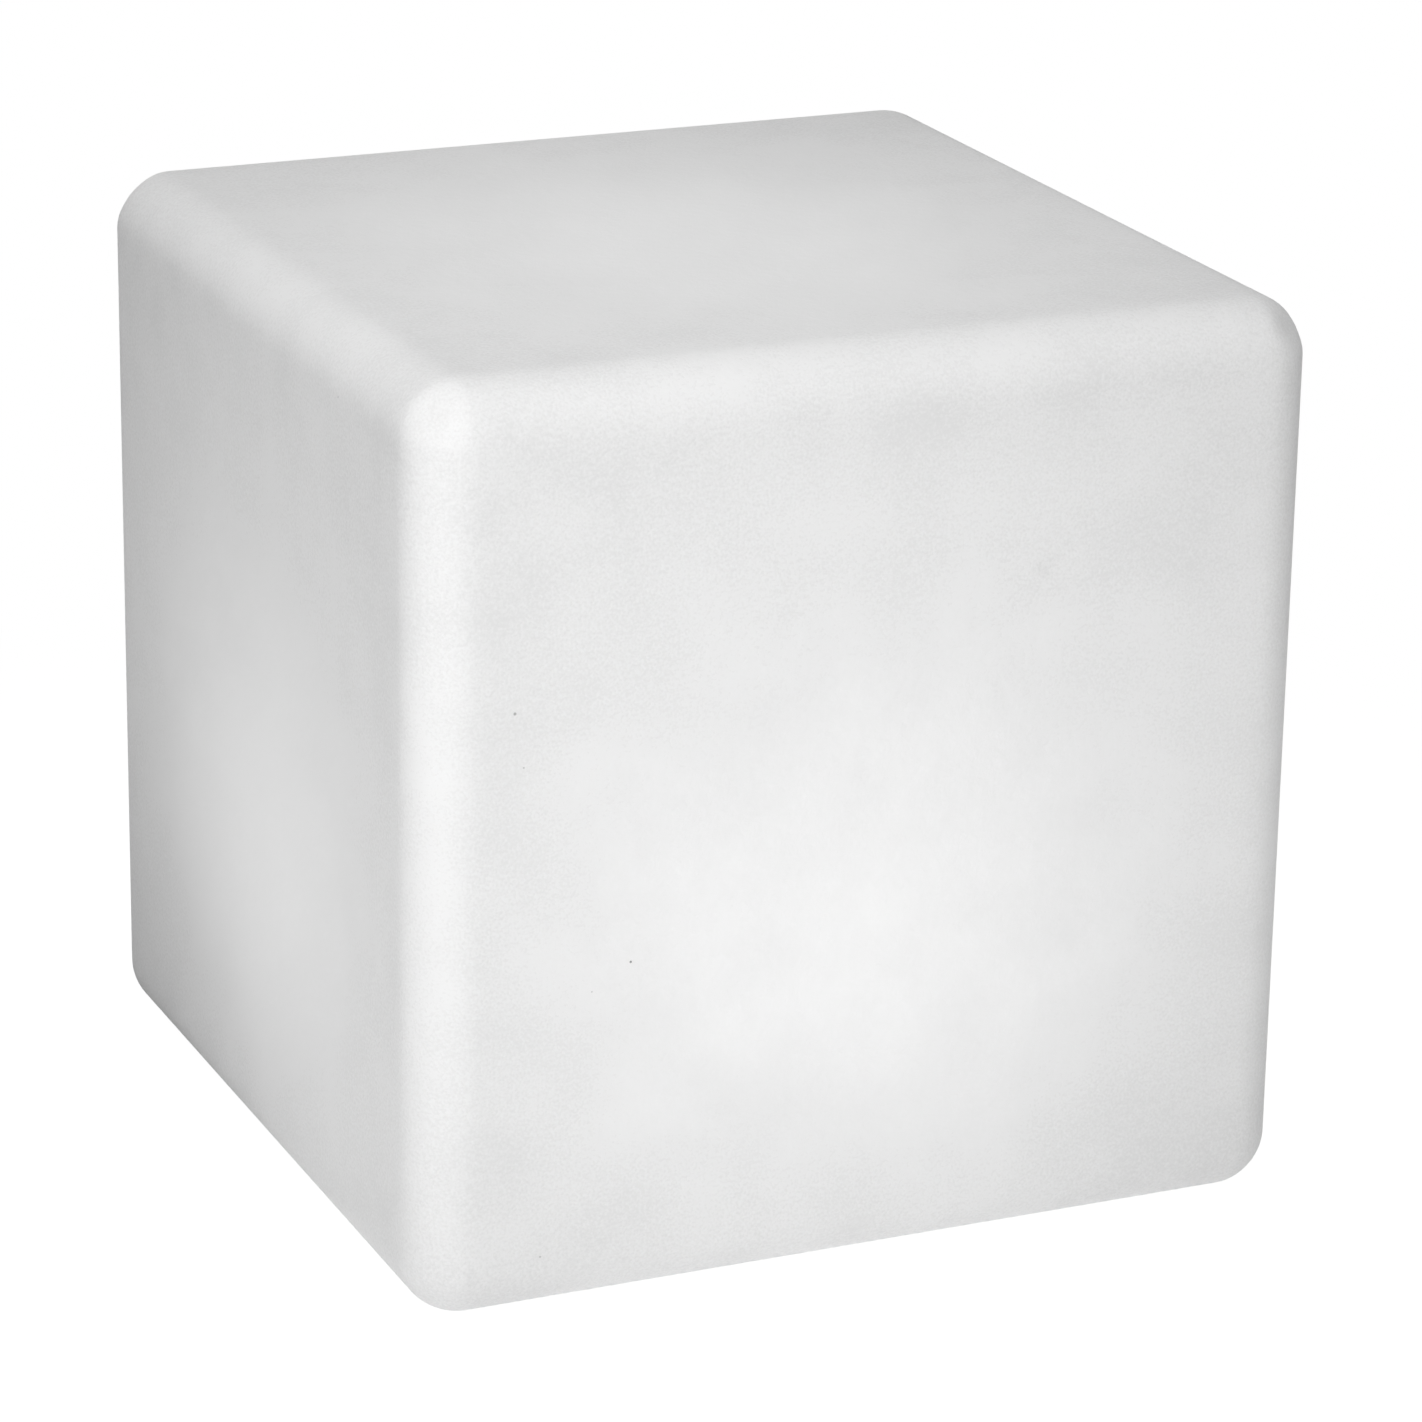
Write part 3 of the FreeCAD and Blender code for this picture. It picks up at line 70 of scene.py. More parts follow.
# ------------------------------------ light levels
pod_level = 0.090  # height of the middle of the pod's light above the ground
pod_glow = 0.345
glow_sideways = 0.6
glow_upwards = 0.8
key_place = (-0.70, -1.0, 1.05)
key_size = 1.4
key_power = 12.8
overhead_place = (1.0, 1.26, 6.0)
overhead_size = 3.0
overhead_power = 24.0
room_level = 0.20
# what the room adds from the front, from the back and from the right, where it takes some away
room_sides = (
    ((0.0, -1.0, 0.0), 0.10),
    ((0.0, 1.0, 0.0), 0.24),
    ((1.0, 0.0, 0.0), -0.04),
)


def new_piece(name, mesh, crease=None):
    """An object made from a finished mesh. Edges that turn by more than a crease stay sharp."""
    data = bpy.data.meshes.new(name)
    mesh.to_mesh(data)
    mesh.free()
    if crease:
        data.set_sharp_from_angle(angle=crease)
    piece = bpy.data.objects.new(name, data)
    bpy.context.scene.collection.objects.link(piece)
    return piece


# ------------------------------------ cube shell
def on_cube_outline(spot):
    """True where a point lies on the outside of the cube, its fillets or its flat underside."""
    reach = [
        max(abs(spot.x) - flat_half, 0.0),
        max(abs(spot.y) - flat_half, 0.0),
        max(abs(spot.z - shell_middle) - flat_half, 0.0),
    ]
    return abs(math.hypot(*reach) - edge_radius) < outline_slack


def steps_across_face():
    """Lines across one face: half a fillet, the flat, half a fillet. Each is (place, angle)."""
    quarter = math.pi / 4
    first = [(-flat_half, -quarter * (1 - i / fillet_cells)) for i in range(fillet_cells)]
    flat = [(flat_half * (2 * i / flat_cells - 1), 0.0) for i in range(flat_cells + 1)]
    last = [(flat_half, quarter * (i + 1) / fillet_cells) for i in range(fillet_cells)]
    return first + flat + last


def moulded_point(across, up, out, step_across, step_up):
    """A point of the skin. Corners are a little blunter than a ball and flats sink a little."""
    place_a, angle_a = step_across
    place_u, angle_u = step_up
    direction = (across * math.tan(angle_a) + up * math.tan(angle_u) + out).normalized()
    centre = across * place_a + up * place_u + out * flat_half
    blunting = top_corner_blunting if direction.z > 0 else bottom_corner_blunting
    # 1 straight out of a corner, and 0 everywhere along an edge or a face
    cornering = 27 * (direction.x * direction.y * direction.z) ** 2
    spot = centre + direction * (edge_radius - blunting * cornering)
    if angle_a == 0.0 and angle_u == 0.0:
        bow = (1 - (place_a / flat_half) ** 2) * (1 - (place_u / flat_half) ** 2)
        ripple = 0.5 + 0.5 * noise.noise(spot / ripple_length)
        spot -= out * (face_sink * bow**2 + face_ripple * ripple * min(1.0, ripple_rise * bow))
    return spot + Vector((0, 0, shell_middle))


def add_face(mesh, across, up, out, fillets_only):
    """One side of the skin as far as the middle of the fillets around it, or those alone."""
    steps = steps_across_face()
    grid = [[mesh.verts.new(moulded_point(across, up, out, a, u)) for a in steps] for u in steps]
    flat_run = range(fillet_cells, fillet_cells + flat_cells)
    for row, (below, above) in enumerate(zip(grid, grid[1:])):
        for column in range(len(steps) - 1):
            if fillets_only and row in flat_run and column in flat_run:
                continue
            mesh.faces.new((below[column], below[column + 1], above[column + 1], above[column]))
    if fillets_only:
        unused = [vertex for line in grid for vertex in line if not vertex.link_faces]
        bmesh.ops.delete(mesh, geom=unused, context="VERTS")


def cube_skin():
    """The shell with a finely divided skin. Its well, foot seats and inside are the CAD's."""
    mesh = bmesh.new()
    mesh.from_mesh(nodes["cube_shell"].data)
    bmesh.ops.remove_doubles(mesh, verts=mesh.verts, dist=cad_weld)
    outside = [f for f in mesh.faces if all(on_cube_outline(v.co) for v in f.verts)]
    bmesh.ops.delete(mesh, geom=outside, context="FACES")
    x, y, z = Vector((1, 0, 0)), Vector((0, 1, 0)), Vector((0, 0, 1))
    for across, up, out in ((x, z, -y), (-x, z, y), (y, z, x), (-y, z, -x), (x, y, z)):
        add_face(mesh, across, up, out, fillets_only=False)
    add_face(mesh, -x, y, -z, fillets_only=True)
    bmesh.ops.remove_doubles(mesh, verts=mesh.verts, dist=skin_weld)
    rims = [e for e in mesh.edges if len(e.link_faces) == 1]
    bmesh.ops.triangle_fill(mesh, edges=rims, use_beauty=True, normal=-z)
    bmesh.ops.recalc_face_normals(mesh, faces=mesh.faces)
    for face in mesh.faces:
        face.smooth = True
        face.material_index = 0
    open_edges = sum(1 for e in mesh.edges if len(e.link_faces) != 2)
    print(f"cube_skin: {len(mesh.faces)} faces, {open_edges} open edges")
    return new_piece("cube_skin", mesh, shell_crease)


# ------------------------------------ rubber feet
foot_places = ((-0.150, -0.150), (0.150, -0.150), (0.150, 0.150), (-0.150, 0.150))
foot_base_radius = 0.0125
foot_top_radius = 0.0140
foot_height = 0.0080
foot_edge = 0.0008
foot_edge_steps = 4
foot_slices = 96
foot_crease = math.radians(40)
tread_rings = ((0.0034, 0.0042), (0.0064, 0.0072), (0.0094, 0.0102))
tread_depth = 0.0007
tread_spokes = 12
tread_spoke_half_width = 0.0004
tread_middle = 0.0042
tread_wall = 0.00004  # half the width of a step between the base and the floor of the tread
radii_between_steps = (0.0006, 0.0020, 0.0028, 0.0053, 0.0083)
base_margin = 0.93  # the last line before the round edge, as a share of the flat base
stud_head_radius = 0.00705
stud_head_levels = (0.0035, 0.0050)
stud_radius = 0.00255
gate_dimple_radius = 0.0012
gate_dimple_depth = 0.0004


def tread_height(radius, angle):
    """How far the tread is cut up into the foot's base at a place."""
    if radius < gate_dimple_radius:
        return gate_dimple_depth
    if radius > tread_rings[-1][1]:
        return 0.0
    if any(inner <= radius <= outer for inner, outer in tread_rings):
        return tread_depth
    step = 2 * math.pi / tread_spokes
    off_spoke = abs((angle + step / 2) % step - step / 2) * radius
    cut = radius > tread_middle and off_spoke < tread_spoke_half_width
    return tread_depth if cut else 0.0


def base_radii():
    """Places across the base, close together at both sides of each step in the tread."""
    steps = [gate_dimple_radius] + [radius for ring in tread_rings for radius in ring]
    radii = set(radii_between_steps)
    for radius in steps:
        radii.update((radius - tread_wall, radius + tread_wall))
    return sorted(radii)


def foot_outline():
    """The rest of the foot as radius and height, up the outside and down to the stud's head."""
    flat_end = foot_base_radius - foot_edge
    outline = [(flat_end * base_margin, 0.0), (flat_end, 0.0)]
    for i in range(1, foot_edge_steps + 1):
        turn = math.pi / 2 * i / foot_edge_steps
        outline.append((flat_end + foot_edge * math.sin(turn), foot_edge * (1 - math.cos(turn))))
    head_low, head_high = stud_head_levels
    outline += [(foot_top_radius, foot_height), (stud_radius, foot_height)]
    outline += [(stud_radius, head_high), (stud_head_radius, head_high)]
    return outline + [(stud_head_radius, head_low)]


def treaded_feet():
    """Four rubber feet with a tread of rings and spokes in the base, round their studs."""
    mesh = bmesh.new()
    angles = [2 * math.pi * i / foot_slices for i in range(foot_slices)]
    rings = [[(r, tread_height(r, angle), angle) for angle in angles] for r in base_radii()]
    rings += [[(r, height, angle) for angle in angles] for r, height in foot_outline()]
    for x, y in foot_places:
        corners = [
            [
                mesh.verts.new((x + r * math.cos(angle), y + r * math.sin(angle), height))
                for r, height, angle in ring
            ]
            for ring in rings
        ]
        for lower, upper in zip(corners, corners[1:]):
            for i in range(foot_slices):
                j = (i + 1) % foot_slices
                mesh.faces.new((lower[j], lower[i], upper[i], upper[j]))
        mesh.faces.new(corners[0])
        mesh.faces.new(list(reversed(corners[-1])))
    bmesh.ops.recalc_face_normals(mesh, faces=mesh.faces)
    for face in mesh.faces:
        face.smooth = True
    return new_piece("treaded_feet", mesh, foot_crease)


# ------------------------------------ button spring
spring_wire = 0.0003
spring_turns = 5
spring_flat_turns = 1
spring_end_gap = math.radians(12)
spring_steps_per_turn = 48
spring_wire_sides = 12


def coiled_spring():
    """The spring over the power button. Its end turns lie flat."""
    low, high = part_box("button_spring")
    middle = (low + high) / 2
    coil_radius = (high.x - low.x) / 2 - spring_wire
    rise = high.z - low.z - 2 * spring_wire
    turns_that_rise = spring_turns - 2 * spring_flat_turns
    count = spring_turns * spring_steps_per_turn
    whole = 2 * math.pi * spring_turns - 2 * spring_end_gap
    mesh = bmesh.new()
    rings = []
    for i in range(count + 1):
        angle = spring_end_gap + whole * i / count
        share = (angle / (2 * math.pi) - spring_flat_turns) / turns_that_rise
        height = low.z + spring_wire + rise * min(1.0, max(0.0, share))
        outward = Vector((math.cos(angle), math.sin(angle), 0.0))
        centre = Vector((middle.x, middle.y, height)) + outward * coil_radius
        ring = []
        for side in range(spring_wire_sides):
            turn = 2 * math.pi * side / spring_wire_sides
            across = outward * math.cos(turn) + Vector((0.0, 0.0, math.sin(turn)))
            ring.append(mesh.verts.new(centre + across * spring_wire))
        rings.append(ring)
    for first, second in zip(rings, rings[1:]):
        for i in range(spring_wire_sides):
            j = (i + 1) % spring_wire_sides
            mesh.faces.new((first[i], first[j], second[j], second[i]))
    mesh.faces.new(list(reversed(rings[0])))
    mesh.faces.new(rings[-1])
    bmesh.ops.recalc_face_normals(mesh, faces=mesh.faces)
    for face in mesh.faces:
        face.smooth = len(face.verts) == 4
    seat = Vector((middle.x, middle.y, high.z))
    return new_piece("coiled_spring", mesh), seat, high.z - low.z


# ------------------------------------ material helpers
FLOAT = "NodeSocketFloat"
VECTOR = "NodeSocketVector"
nowhere = (0.0, 0.0, 0.0)
white_light = (1.0, 1.0, 1.0, 1.0)


def put(tree, kind, sockets=None, **settings):
    """Add a shader node. A socket takes a plain value or another node's output."""
    node = tree.nodes.new(kind)
    for name, value in settings.items():
        setattr(node, name, value)
    for name, value in (sockets or {}).items():
        if isinstance(value, bpy.types.NodeSocket):
            tree.links.new(value, node.inputs[name])
        else:
            node.inputs[name].default_value = value
    return node


def sum_up(tree, operation, first, second=0.0, third=0.0, clamp=False):
    sockets = {0: first, 1: second, 2: third}
    return put(tree, "ShaderNodeMath", sockets, operation=operation, use_clamp=clamp).outputs[0]


def vector_sum(tree, operation, first, second=nowhere):
    node = put(tree, "ShaderNodeVectorMath", {0: first, 1: second}, operation=operation)
    return node.outputs["Value" if operation in ("DOT_PRODUCT", "LENGTH", "DISTANCE") else 0]


def ramp(tree, value, low, high, start=0.0, end=1.0, smooth=False):
    """A value that goes from start to end while the one it follows goes from low to high."""
    sockets = {"Value": value, "From Min": low, "From Max": high, "To Min": start, "To Max": end}
    way = "SMOOTHSTEP" if smooth else "LINEAR"
    return put(tree, "ShaderNodeMapRange", sockets, interpolation_type=way).outputs[0]


def clouds(tree, steps, detail, roughness=0.5, scale=1.0):
    """Soft random clouds, about one for each step of a position."""
    sockets = {"Vector": steps, "Scale": scale, "Detail": detail, "Roughness": roughness}
    return put(tree, "ShaderNodeTexNoise", sockets).outputs[0]


def scaled(tree, position, size):
    """A position counted in steps of a size, for a texture that repeats at that size."""
    inverse = sum_up(tree, "DIVIDE", 1.0, size)
    node = put(tree, "ShaderNodeVectorMath", {0: position, "Scale": inverse}, operation="SCALE")
    return node.outputs[0]


def place_parts(tree, position):
    return put(tree, "ShaderNodeSeparateXYZ", {0: position}).outputs


def grey(tree, value):
    sockets = {"Red": value, "Green": value, "Blue": value}
    return put(tree, "ShaderNodeCombineColor", sockets).outputs[0]


def new_group(name, inputs, outputs):
    """An empty node group that takes a position and more inputs, each (label, kind, value)."""
    group = bpy.data.node_groups.new(name, "ShaderNodeTree")
    for label, kind, value in (("Position", VECTOR, nowhere), *inputs):
        socket = group.interface.new_socket(label, in_out="INPUT", socket_type=kind)
        socket.default_value = value
    for label in outputs:
        group.interface.new_socket(label, in_out="OUTPUT", socket_type=FLOAT)
    entry = group.nodes.new("NodeGroupInput").outputs
    leave = group.nodes.new("NodeGroupOutput").inputs
    return group, entry, leave


def use_group(tree, group, sockets):
    """Put an effect into a material, and give back what it makes."""
    return put(tree, "ShaderNodeGroup", sockets, node_tree=group).outputs


# ------------------------------------ effects used by many finishes
mottle_band = (0.2, 0.8)
wave_share = 1.6  # how deep the soft waves of a grain are, set against its pits
scratch_ways = (((0.3, 0.2, 0.5), (1.0, 60.0, 30.0)), ((0.1, 0.9, 2.2), (50.0, 1.2, 24.0)))
scratch_band = (0.66, 0.74)
scratch_patch_scale = 0.8
scratch_patch_band = (0.45, 0.65)
spot_rim = (0.4, 1.0)  # where a spot starts and stops fading, as shares of its radius
edge_band = (0.985, 0.90)  # how far a rounded normal agrees with the real one at an edge
edge_patch_band = (0.38, 0.62)
least_rubbed = 0.15
track_ways = ((0.0, 7.0), (math.pi / 2, 5.0))  # a way to run, and the length of one stretch
track_half_width = 0.16
track_gaps = 0.52
hole_spacing = (0.5, 0.5, 0.0)  # one hole for every two steps of the tracks, each way
hole_radius = 0.17
hole_gaps = 0.62


def make_grain_group():
    """The grain of a moulded surface, fine pits over soft waves, and slow uneven mottling."""
    group, entry, leave = new_group(
        "moulded_grain",
        [("Grain Size", FLOAT, 0.001), ("Wave Size", FLOAT, 0.004), ("Mottle Size", FLOAT, 0.03)],
        ["Height", "Fine", "Mottle"],
    )
    fine = clouds(group, scaled(group, entry["Position"], entry["Grain Size"]), 2.0, 0.6)
    wave = clouds(group, scaled(group, entry["Position"], entry["Wave Size"]), 1.0)
    mottle = clouds(group, scaled(group, entry["Position"], entry["Mottle Size"]), 3.0)
    group.links.new(sum_up(group, "MULTIPLY_ADD", wave, wave_share, fine), leave["Height"])
    group.links.new(fine, leave["Fine"])
    group.links.new(mottle, leave["Mottle"])
    return group


def make_scuff_group():
    """Thin scratches in two directions, broken up, as handling leaves them."""
    group, entry, leave = new_group(
        "handling_scuffs", [("Length", FLOAT, 0.03), ("Amount", FLOAT, 0.5)], ["Scratches"]
    )
    steps = scaled(group, entry["Position"], entry["Length"])
    masks = []
    for turn, stretch in scratch_ways:
        sockets = {"Vector": steps, "Rotation": turn, "Scale": stretch}
        stretched = put(group, "ShaderNodeMapping", sockets).outputs[0]
        masks.append(ramp(group, clouds(group, stretched, 1.0), *scratch_band))
    patches = clouds(group, steps, 2.0, scale=scratch_patch_scale)
    patches = ramp(group, patches, *scratch_patch_band)
    broken = sum_up(group, "MULTIPLY", sum_up(group, "MAXIMUM", *masks), patches)
    group.links.new(sum_up(group, "MULTIPLY", broken, entry["Amount"]), leave["Scratches"])
    return group


def make_spot_group():
    """A soft round spot at a place on the moulding, added to the spots already there."""
    group, entry, leave = new_group(
        "moulding_spot",
        [
            ("Place", VECTOR, nowhere),
            ("Radius", FLOAT, 0.002),
            ("Strength", FLOAT, 1.0),
            ("Below", FLOAT, 0.0),
        ],
        ["Mask"],
    )
    apart = vector_sum(group, "DISTANCE", entry["Position"], entry["Place"])
    share = sum_up(group, "DIVIDE", apart, entry["Radius"])
    fall = ramp(group, share, *spot_rim, 1.0, 0.0, smooth=True)
    strong = sum_up(group, "MULTIPLY", fall, entry["Strength"])
    group.links.new(sum_up(group, "ADD", strong, entry["Below"]), leave["Mask"])
    return group


def make_edge_group():
    """Where corners and edges have been rubbed, in broken patches."""
    group, entry, leave = new_group(
        "rubbed_edges", [("Width", FLOAT, 0.0004), ("Patch Size", FLOAT, 0.006)], ["Rubbed"]
    )
    rounded = put(group, "ShaderNodeBevel", {"Radius": entry["Width"]}, samples=4).outputs[0]
    facing = put(group, "ShaderNodeNewGeometry").outputs["Normal"]
    edge = ramp(group, vector_sum(group, "DOT_PRODUCT", rounded, facing), *edge_band)
    patches = clouds(group, scaled(group, entry["Position"], entry["Patch Size"]), 3.0)
    broken = ramp(group, patches, *edge_patch_band, least_rubbed)
    group.links.new(sum_up(group, "MULTIPLY", edge, broken), leave["Rubbed"])
    return group


def make_line_group():
    """Fine lines drawn out along one way, as turning, rolling or brushing leaves them."""
    group, entry, leave = new_group(
        "drawn_lines", [("Across", VECTOR, (0.02, 0.02, 1.0)), ("Pitch", FLOAT, 0.00015)], ["Lines"]
    )
    steps = scaled(group, entry["Position"], entry["Pitch"])
    stretched = vector_sum(group, "MULTIPLY", steps, entry["Across"])
    group.links.new(clouds(group, stretched, 2.0), leave["Lines"])
    return group


def make_track_group():
    """Copper tracks that run square across a circuit board, and round plated holes."""
    group, entry, leave = new_group("board_tracks", [("Pitch", FLOAT, 0.0015)], ["Tracks", "Holes"])
    steps = scaled(group, entry["Position"], entry["Pitch"])
    runs = []
    for turn, reach in track_ways:
        sockets = {"Vector": steps, "Rotation": (0.0, 0.0, turn)}
        turned_steps = put(group, "ShaderNodeMapping", sockets).outputs[0]
        along, beside, _ = place_parts(group, turned_steps)
        lane = sum_up(group, "FRACT", beside)
        line = sum_up(group, "COMPARE", lane, 0.5, track_half_width)
        stretch = sum_up(group, "FLOOR", sum_up(group, "DIVIDE", along, reach))
        row = sum_up(group, "FLOOR", beside)
        cell = put(group, "ShaderNodeCombineXYZ", {"X": stretch, "Y": row, "Z": turn}).outputs[0]
        chance = put(group, "ShaderNodeTexWhiteNoise", {"Vector": cell}).outputs["Value"]
        laid = sum_up(group, "GREATER_THAN", chance, track_gaps)
        runs.append(sum_up(group, "MULTIPLY", line, laid))
    group.links.new(sum_up(group, "MAXIMUM", *runs), leave["Tracks"])
    flat_steps = vector_sum(group, "MULTIPLY", steps, hole_spacing)
    sockets = {"Vector": flat_steps, "Scale": 1.0, "Randomness": 0.0}
    holes = put(group, "ShaderNodeTexVoronoi", sockets).outputs
    chance = put(group, "ShaderNodeSeparateColor", {0: holes["Color"]}).outputs[0]
    near = sum_up(group, "LESS_THAN", holes["Distance"], hole_radius)
    plated = sum_up(group, "GREATER_THAN", chance, hole_gaps)
    group.links.new(sum_up(group, "MULTIPLY", near, plated), leave["Holes"])
    return group


grain_group = make_grain_group()
scuff_group = make_scuff_group()
spot_group = make_spot_group()
edge_group = make_edge_group()
line_group = make_line_group()
track_group = make_track_group()


# ------------------------------------ layers of one finish
def new_material(name):
    """A material with one shader, and the place on the piece that its textures go by."""
    material = bpy.data.materials.new(name)
    material.use_nodes = True
    tree = material.node_tree
    tree.nodes.clear()
    shader = put(tree, "ShaderNodeBsdfPrincipled")
    put(tree, "ShaderNodeOutputMaterial", {"Surface": shader.outputs[0]})
    position = put(tree, "ShaderNodeTexCoord").outputs["Object"]
    return material, tree, shader, position


def blended(tree, share, first, second):
    """One colour where a mask is 0, another where it is 1."""
    mix = put(tree, "ShaderNodeMix", {0: share, 6: first, 7: second}, data_type="RGBA")
    return mix.outputs[2]


def opaque(colour):
    return tuple(colour) + (1.0,)


def tinted(tree, colour, mottle, spread):
    """A colour that gets a little lighter and darker with a mottle from 0 to 1."""
    dark = opaque(c * (1 - spread) for c in colour)
    light = opaque(min(1.0, c * (1 + spread)) for c in colour)
    return blended(tree, ramp(tree, mottle, *mottle_band), dark, light)


def cover(tree, shader, mask, colour):
    """Lay another colour over the base where a mask is 1."""
    under = shader.inputs["Base Color"].links[0].from_socket
    tree.links.new(blended(tree, mask, under, opaque(colour)), shader.inputs["Base Color"])


def change_where(tree, shader, name, mask, value):
    """Bring the roughness or the metal towards a value where a mask is 1."""
    entry = shader.inputs[name]
    under = entry.links[0].from_socket if entry.links else entry.default_value
    kept = sum_up(tree, "MULTIPLY", sum_up(tree, "SUBTRACT", 1.0, mask), under)
    tree.links.new(sum_up(tree, "MULTIPLY_ADD", mask, value, kept), entry)


def disc_at_level(tree, position, place, radius, level, thickness=0.00015):
    """1 on a round patch of one level surface, such as the floor of a shallow mark."""
    x, y, z = place_parts(tree, position)
    flat = put(tree, "ShaderNodeCombineXYZ", {"X": x, "Y": y, "Z": 0.0}).outputs[0]
    apart = vector_sum(tree, "DISTANCE", flat, (*place, 0.0))
    inside = sum_up(tree, "LESS_THAN", apart, radius)
    return sum_up(tree, "MULTIPLY", inside, sum_up(tree, "COMPARE", z, level, thickness))


def bump(tree, shader, height, depth):
    """Raise the surface by a height from 0 to 1, counted in a depth."""
    sockets = {"Height": height, "Distance": depth, "Strength": 1.0}
    tree.links.new(put(tree, "ShaderNodeBump", sockets).outputs[0], shader.inputs["Normal"])


def add_to_bump(tree, shader, height, share):
    """Add a share of one more height to those that already raise the surface."""
    raised = shader.inputs["Normal"].links[0].from_node.inputs["Height"]
    under = raised.links[0].from_socket
    tree.links.new(sum_up(tree, "MULTIPLY_ADD", height, share, under), raised)


# ------------------------------------ shell material
shell_white = (0.86, 0.86, 0.86)
speck_grey = (0.08, 0.08, 0.08)
shell_tone_spread = 0.055
shell_stipple = 1.6  # how strong the fine stipple is, set against the slow mottling
shell_roughness = (0.62, 0.72)
shell_sheen = 0.10
shell_scatter = 0.25
shell_scatter_depth = 0.005
shell_grain_depth = 0.00012
mark_depth = 12.0  # how far the faint marks sink, set against the grain

# places on the skin, as x, y and z in metres, then radius and strength
dark_specks = (
    (-0.1596, -0.2, 0.2675, 0.0009, 0.5),
    (-0.1557, -0.2, 0.2443, 0.0006, 0.35),
    (-0.1086, -0.2, 0.1545, 0.0008, 0.75),
    (-0.1837, -0.2, 0.1322, 0.0007, 0.5),
    (-0.1815, -0.2, 0.0295, 0.0007, 0.5),
    (-0.1256, -0.2, 0.1439, 0.0006, 0.3),
    (-0.1476, -0.2, 0.0300, 0.0006, 0.3),
    (-0.2, -0.1086, 0.3772, 0.0006, 0.3),
)
faint_marks = (
    (0.0736, -0.2, 0.3016, 0.0060, 0.050),
    (0.0792, -0.2, 0.3059, 0.0048, 0.030),
    (0.0847, -0.2, 0.3102, 0.0040, 0.030),
    (0.1024, -0.2, 0.2188, 0.0045, 0.015),
    (-0.0089, -0.2, 0.3438, 0.0042, 0.014),
    (-0.0711, -0.2, 0.3946, 0.0042, 0.014),
    (-0.1771, -0.2, 0.0242, 0.0042, 0.025),
    (-0.2, 0.0281, 0.1558, 0.0046, 0.030),
)


def spots(tree, position, places):
    """The strength of all the spots of a list, added up over the skin."""
    added = 0.0
    for *place, radius, strength in places:
        sockets = {"Position": position, "Place": place, "Radius": radius, "Strength": strength}
        added = use_group(tree, spot_group, {**sockets, "Below": added})["Mask"]
    return added


def light_from_pod(tree, position):
    """Light from the pod, weaker with distance and on plastic that is turned away from it."""
    from_pod = vector_sum(tree, "SUBTRACT", position, (0.0, 0.0, pod_level))
    apart = vector_sum(tree, "LENGTH", from_pod)
    facing = put(tree, "ShaderNodeNewGeometry").outputs["Normal"]
    towards = vector_sum(tree, "DOT_PRODUCT", facing, from_pod)
    reaching = sum_up(tree, "DIVIDE", towards, sum_up(tree, "POWER", apart, 3.0))
    above = vector_sum(tree, "DOT_PRODUCT", from_pod, (0.0, 0.0, 1.0))
    above = sum_up(tree, "DIVIDE", above, apart)
    beam = sum_up(tree, "MULTIPLY_ADD", above, glow_upwards, glow_sideways)
    reaching = sum_up(tree, "MULTIPLY", reaching, beam)
    return sum_up(tree, "MULTIPLY", reaching, pod_glow * half_side**2, clamp=True)


def shell_polyethylene():
    """Milky polyethylene, rotationally moulded, lit softly from inside by the light pod."""
    material, tree, shader, position = new_material("shell_polyethylene")
    grain = use_group(
        tree,
        grain_group,
        {"Position": position, "Grain Size": 0.0013, "Wave Size": 0.0045, "Mottle Size": 0.035},
    )
    marks = spots(tree, position, faint_marks)
    shade = sum_up(tree, "ADD", spots(tree, position, dark_specks), marks, clamp=True)
    cloudy = sum_up(tree, "MULTIPLY_ADD", grain["Fine"], shell_stipple, grain["Mottle"])
    cloudy = sum_up(tree, "SUBTRACT", cloudy, shell_stipple / 2)
    white = tinted(tree, shell_white, cloudy, shell_tone_spread)
    tree.links.new(blended(tree, shade, white, opaque(speck_grey)), shader.inputs["Base Color"])

    unmarked = sum_up(tree, "SUBTRACT", 1.0, shade)
    glow = sum_up(tree, "MULTIPLY", light_from_pod(tree, position), unmarked)
    tree.links.new(grey(tree, glow), shader.inputs["Emission Color"])
    shader.inputs["Emission Strength"].default_value = 1.0

    rough = ramp(tree, grain["Mottle"], 0.0, 1.0, *shell_roughness)
    tree.links.new(rough, shader.inputs["Roughness"])
    shader.inputs["Specular IOR Level"].default_value = shell_sheen
    shader.inputs["Subsurface Weight"].default_value = shell_scatter
    shader.inputs["Subsurface Radius"].default_value = (1.0, 1.0, 1.0)
    shader.inputs["Subsurface Scale"].default_value = shell_scatter_depth
    pits = sum_up(tree, "MULTIPLY_ADD", marks, -mark_depth, grain["Height"])
    bump(tree, shader, pits, shell_grain_depth)
    return material


# ------------------------------------ other finishes
scratch_dulling = 0.25
scratch_sink = 1.2


